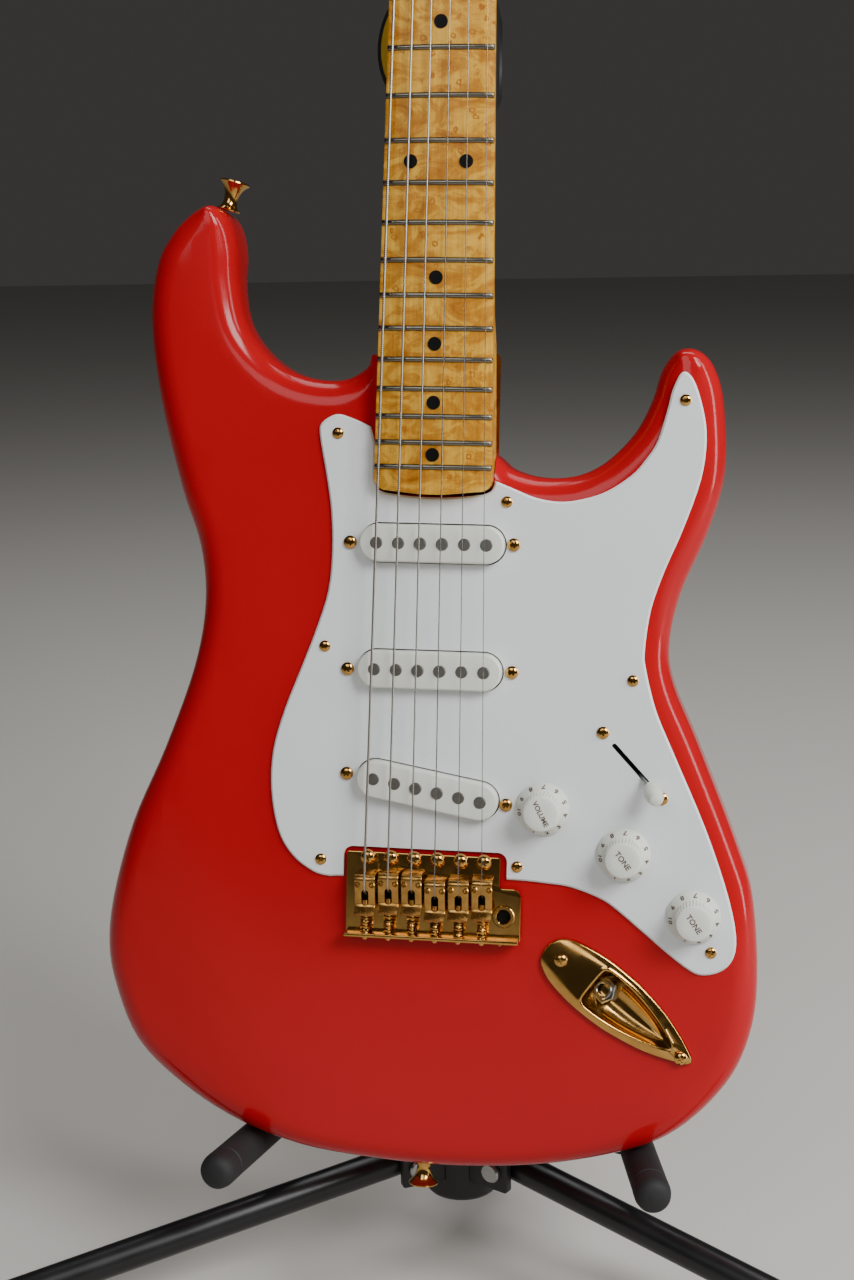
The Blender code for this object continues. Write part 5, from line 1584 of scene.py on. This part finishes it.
@dataclass
class Stand:
    """The tripod stand: hub, folding legs, telescoping shaft, cross arms and neck fork.

    Attributes:
        behind: How far the shaft stands behind the body's face.
        clutch: The clutch's height up the shaft.
        badge_turn: How far the clutch and its badge are turned on the shaft.
        badge_radius: The round badge's.
        yoke: The fork's height up the shaft.
        leg_pivot: Each leg's pin, out from the hub's axis and above the floor.
        foot_reach: Each foot, out from the hub's axis.
    """

    behind: float = 88.0
    clutch: float = 556.0
    badge_turn: float = math.radians(-27.0)
    badge_radius: float = 34.0
    yoke: float = 734.0
    leg_pivot: Point = (29.5, 56.0)
    foot_reach: float = 297.0

    def floor_place(self, azimuth: float) -> Matrix:
        """A place on the floor at the hub's axis, turned to face one leg."""
        away = (self.foot_reach * (1 - math.cos(math.radians(62)))) / 2
        return Matrix.Scale(MM, 4) @ Matrix.Translation((0, -away, 0)) @ Matrix.Rotation(azimuth, 4, "Z")

    def bar(self, radius: float, length: float, start: float = 0.0) -> bpy.types.Object:
        """A round bar along Z with soft domed ends."""
        steps = 7
        profile = [(max(radius * math.sin(math.pi / 2 * k / steps), 0.01),
                    start - radius * math.cos(math.pi / 2 * k / steps)) for k in range(steps + 1)]
        profile += [(max(radius * math.cos(math.pi / 2 * k / steps), 0.01),
                     length + radius * math.sin(math.pi / 2 * k / steps)) for k in range(steps + 1)]
        return turned(profile, 40)

    def legs(self, places: Places, finishes: Finishes) -> None:
        """Models the hub, the legs and the feet, and dresses them."""
        reach, height = self.leg_pivot
        slope = math.atan2(height - 13.5, 300.0 - reach)
        length = (300.0 - reach) / math.cos(slope)
        hub = turned([(16.5, 33.0), (18.6, 33.6), (20.0, 35.5), (20.0, 63.5), (18.6, 65.4), (16.5, 66.0)], 56)
        bolts = []
        for side, azimuth in (("left", -152), ("right", -28), ("rear", 90)):
            turn = Matrix.Rotation(math.radians(azimuth), 4, "Z")
            for offset in (-11.3, 11.3):
                unite(hub, block((24.0, 6.0, 20.0), (26.0, offset, height - 1), 1.4), turn)
            head = turned([(0.01, 14.2), (5.0, 14.2), (5.4, 14.7), (5.4, 16.6), (4.6, 17.5), (0.01, 17.7)], 32)
            for sign in (90, -90):
                bolts.append(copied(head, turn @ Matrix.Translation((reach, 0, height))
                                    @ Matrix.Rotation(math.radians(sign), 4, "X")))
            bpy.data.objects.remove(head, do_unlink=True)
            place = self.floor_place(math.radians(azimuth))
            leg = self.bar(8.0, length)
            leg.data.transform(Matrix.Translation((reach, 0, height)) @ Matrix.Rotation(math.pi / 2 + slope, 4, "Y"))
            settle(leg, f"leg_{side}_tube", place, f"leg_{side}", finishes.powder, [f"leg_{side}"])
            foot = turned([(0.01, 0.4), (13.6, 0.0), (15.2, 0.5), (16.0, 2.0), (15.9, 4.0), (15.2, 4.6), (15.2, 5.4),
                           (15.7, 6.0), (15.5, 8.4), (14.8, 9.0), (14.8, 9.8), (15.2, 10.4), (14.8, 14.0), (12.6, 21.5), (11.2, 24.6),
                           (9.0, 26.3), (0.01, 26.5)], 48)
            foot.data.transform(Matrix.Translation((self.foot_reach, 0, 0)))
            settle(foot, f"foot_{side}_cap", place, f"leg_{side}", finishes.rubber, [f"foot_{side}"])
        settle(hub, "hub_casting", self.floor_place(0), "stand", finishes.abs, ["stand_hub"])
        settle(gather(bolts), "hub_bolts", self.floor_place(0), "stand", finishes.steel)

    def column(self, places: Places, finishes: Finishes) -> None:
        """Models the two tubes, the clutch and its badge, and dresses them."""
        axis = places.stand @ Matrix.Translation((0, self.behind, 0))
        lower = ring_turned([(8.5, -34), (11.0, -34), (11.0, 562), (8.5, 562)], 48)
        settle(lower, "lower_tube", axis, "stand", finishes.powder, ["shaft_lower"])
        settle(turned([(0.01, 330), (7.2, 330), (8.0, 331), (8.0, 738), (0.01, 738)], 48), "upper_tube", axis,
               "neck_support", finishes.powder, ["shaft_upper"])
        rings = []
        for radius, height, fluted in ((8.35, -34.0, 0), (14.0, -34.0, 0), (16.5, -33.0, 0), (18.3, -30.0, 0), (19.0, -26, 1),
                                       (19.4, -12.0, 1), (19.4, 12.0, 1), (19.0, 17.0, 0), (17.0, 25.0, 0), (14.6, 29.0, 0),
                                       (12.4, 30.0, 0), (8.35, 30.0, 0)):
            rings.append([Vector(((radius + 0.6 * fluted * math.copysign(1, math.cos(math.tau * k / 8)))
                                  * math.cos(math.tau * k / 96),
                                  (radius + 0.6 * fluted * math.copysign(1, math.cos(math.tau * k / 8)))
                                  * math.sin(math.tau * k / 96), height)) for k in range(96)])
        rings.append(rings[0])
        grip = edit(skin(rings), lambda: bpy.ops.mesh.remove_doubles(threshold=0.002), outward)
        pad = block((26, 8, 36), (0, -21, -2), 2.0)
        clamp = axis @ Matrix.Translation((0, 0, self.clutch)) @ Matrix.Rotation(self.badge_turn, 4, "Z")
        settle(gather([grip, pad]), "clutch_grip", clamp, "stand", finishes.abs, ["height_clutch"])
        disc = [(self.badge_radius * math.cos(math.tau * k / 96), self.badge_radius * math.sin(math.tau * k / 96))
                for k in range(96)]
        plate = slab(disc, 0.0, -2.4)
        inner = [(x * 0.94, z * 0.94) for x, z in disc]
        carve(plate, slab(inner, -1.9, -6.0))
        bevel_edges(plate, rim_at(-2.4), 0.3, 1)
        where = clamp @ Matrix.Translation((0, -25.3, -2))
        settle(plate, "badge_backing", where, "stand", finishes.abs, ["clutch_badge"])
        face = slab([(x * 0.985, z * 0.985) for x, z in inner], -1.8, -2.9)
        bevel_edges(face, rim_at(-2.9), 0.5, 2)
        settle(face, "badge_face", where, "stand", finishes.badge)

    def fork(self, places: Places, finishes: Finishes) -> None:
        """Models the padded fork that holds the neck, and dresses it."""
        reach, radius, corner, level = 36.5, 6.5, 15.0, 19.8
        path = [Vector((-reach - 3, -24, 0)), Vector((-reach - 1, -14, 0)), Vector((-reach, level - corner, 0))]
        for k in range(1, 13):
            angle = math.radians(180 - 90 * k / 12)
            path.append(Vector((-reach + corner + corner * math.cos(angle),
                                level - corner + corner * math.sin(angle), 0)))
        path += [Vector((-p.x, p.y, 0)) for p in reversed(path)]
        pieces = [tube(path, radius, 7)]
        for sign in (-1, 1):
            tip = turned([(6.5, -1), (6.5, 0.0), (6.1, 1.4), (5.0, 2.6), (3.0, 3.3), (0.01, 3.5)], 32)
            tip.data.transform(Matrix.Translation((sign * (reach + 3), -24, 0)) @ FACING)
            pieces.append(tip)
        pieces.append(block((20, self.behind - level, 13), (0, (self.behind + level) / 2, 0), 2.4))
        pieces.append(turned([(10.5, -22), (12.6, -21.0), (13.5, -18.5), (13.5, 8), (12.4, 10.8), (9.0, 13), (0.01, 13.2)], 48)
                      )
        pieces[-1].data.transform(Matrix.Translation((0, self.behind, 0)))
        settle(gather(pieces), "neck_fork", places.stand @ Matrix.Translation((0, 0, self.yoke)), "neck_support",
               finishes.rubber, ["neck_yoke"], 40.0)

    def arms(self, places: Places, finishes: Finishes) -> None:
        """Models the cross bar and the two sleeved arms, and dresses them."""
        across, behind, level = 89.0, 74.0, 3.8
        bar = block((2 * across - 18, 12.0, 14.0), (0, behind, level - 4), 2.0)
        collar = turned([(16.0, -3.5), (18.2, -2.8), (19.0, -1.0), (19.0, 19.5), (18.2, 21.3), (16.0, 22.0)], 48)
        unite(bar, collar, Matrix.Translation((0, self.behind, level)))
        carve(bar, turned([(11.3, -40), (11.3, 60)], 48), Matrix.Translation((0, self.behind, level)))
        pieces = [bar]
        for side, sign in (("left", -1), ("right", 1)):
            pivot = Matrix.Translation((sign * across, behind, level))
            boss = turned([(0.01, -13.8), (11.2, -13.8), (12.0, -13.2), (12.0, -9.1), (0.01, -9.1)], 40)
            boss.data.transform(pivot)
            pieces.append(boss)
            turn = Matrix.Rotation(sign * math.radians(9.0), 4, "Z")
            arm = self.bar(6.0, 97.0)
            arm.data.transform(Matrix.Rotation(math.pi / 2, 4, "X"))
            eye = turned([(0.01, -8.6), (10.4, -8.6), (11.0, -8.0), (11.0, 7.2), (10.2, 8.3), (8.8, 8.8), (0.01, 8.9)], 40)
            settle(gather([arm, eye]), f"arm_{side}_rod", places.stand @ pivot @ turn, f"arm_{side}",
                   finishes.powder, [f"arm_{side}"])
            sleeve = turned([(6.2, 26 - 8.2), (7.6, 26 - 8.0), (8.5, 26 - 7.0), (8.7, 26 - 5.5), (8.7, 90), (8.25, 90.6),
                             (8.25, 91.6), (8.8, 92.2), (8.8, 99.0), (8.3, 102.0), (6.8, 104.3), (4.4, 105.5), (0.01, 105.7)], 48)
            sleeve.data.transform(Matrix.Rotation(math.pi / 2, 4, "X"))
            settle(sleeve, f"arm_{side}_sleeve", places.stand @ pivot @ turn, f"arm_{side}", finishes.rubber,
                   [f"arm_sleeve_{side}"])
        settle(gather(pieces), "arm_crossbar", places.stand, "stand", finishes.abs, ["arm_bracket"], 35.0)

    def build(self, places: Places, finishes: Finishes) -> None:
        """Models the whole stand."""
        self.legs(places, finishes)
        self.column(places, finishes)
        self.fork(places, finishes)
        self.arms(places, finishes)


# ------------------------------------------------------------------ studio


@dataclass
class Studio:
    """A pale floor, soft lights and the camera.

    Attributes:
        lens: In millimetres, for a 36 mm sensor.
        eye: The camera's place in the guitar's millimetres.
        right: The camera's right, in the guitar's axes.
        top: The camera's up, in the guitar's axes.
    """

    lens: float = 53.44
    eye: tuple[float, float, float] = (125.8, -895.4, 343.0)
    right: tuple[float, float, float] = (0.9895, 0.1432, 0.0199)
    top: tuple[float, float, float] = (-0.0326, 0.0865, 0.9957)

    def light(self, name: str, place: Sequence[float], target: Sequence[float], size: tuple[float, float],
              power: float, colour: str = "#FFFFFF") -> None:
        """Adds an area light.

        Args:
            name: The light's name.
            place: Where it stands, in metres.
            target: What it faces.
            size: Its width and height.
            power: In watts.
            colour: As sRGB hex.
        """
        bpy.ops.object.light_add(type="AREA", location=place)
        lamp = bpy.context.object
        lamp.name = name
        lamp.rotation_euler = (Vector(target) - Vector(place)).to_track_quat("-Z", "Y").to_euler()
        lamp.data.shape = "RECTANGLE"
        lamp.data.size, lamp.data.size_y = size
        lamp.data.energy = power
        lamp.data.color = linear(colour)[:3]

    def build(self, places: Places) -> None:
        """Sets the floor, the lights, the world and the camera."""
        bpy.ops.object.select_all(action="DESELECT")
        bpy.ops.mesh.primitive_plane_add(size=14.0, location=(0, 2, 0))
        floor = bpy.context.object
        floor.name = "studio_floor"
        paper = Surface("matte_pale_paper", "#C9C6C0", "#C4C1BB", 0.85, relief=0.0, patch=900.0)
        floor.data.materials.append(paper.make())
        world = bpy.data.worlds.new("studio")
        world.use_nodes = True
        world.node_tree.nodes["Background"].inputs["Color"].default_value = linear("#8E8B88")
        world.node_tree.nodes["Background"].inputs["Strength"].default_value = 0.16
        bpy.context.scene.world = world
        self.light("key", (1.5, -1.5, 1.9), (0.0, 0.0, 0.35), (1.1, 1.1), 62.0)
        self.light("edge_strip", (1.5, -0.35, 0.8), (0.1, 0.0, 0.35), (0.25, 1.5), 13.0)
        self.light("front_fill", (-0.5, -2.4, 2.1), (0.0, 0.0, 0.3), (1.5, 1.5), 19.0)
        self.light("top", (0.1, 0.5, 2.2), (0.0, 0.0, 0.4), (1.4, 0.9), 16.0)
        bpy.ops.object.camera_add()
        camera = bpy.context.object
        camera.name = "camera"
        turn = places.turn
        right = (turn @ Vector(self.right)).normalized()
        back = right.cross(turn @ Vector(self.top)).normalized()
        axes = Matrix((right, back.cross(right), back)).transposed()
        camera.matrix_world = Matrix.Translation(places.guitar @ Vector(self.eye)) @ axes.to_4x4()
        camera.data.lens = self.lens
        camera.data.sensor_width = 36.0
        camera.data.clip_start = 0.05
        bpy.context.scene.camera = camera


def main() -> None:
    """Loads the frame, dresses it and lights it."""
    logging.basicConfig(level=logging.INFO, format="%(message)s")
    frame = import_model()
    places = Places(frame["joints"])
    finishes = Finishes(places.turn)
    hardware = Hardware()
    Body().build(places, finishes)
    Neck().build(places, finishes)
    Guard().build(places, finishes, hardware)
    Controls().build(places, finishes, hardware)
    JackPlate().build(places, finishes, hardware)
    Bridge().build(places, finishes)
    Strings().build(places, finishes)
    Tuners().build(places, finishes, hardware)
    RearAndStraps().build(places, finishes, hardware)
    hardware.put_away()
    Stand().build(places, finishes)
    for name in ("selector_switch",):
        node = frame["nodes"][name]
        node.data.materials.clear()
        node.data.materials.append(finishes.steel)
    Studio().build(places)


if __name__ == "__main__":
    main()
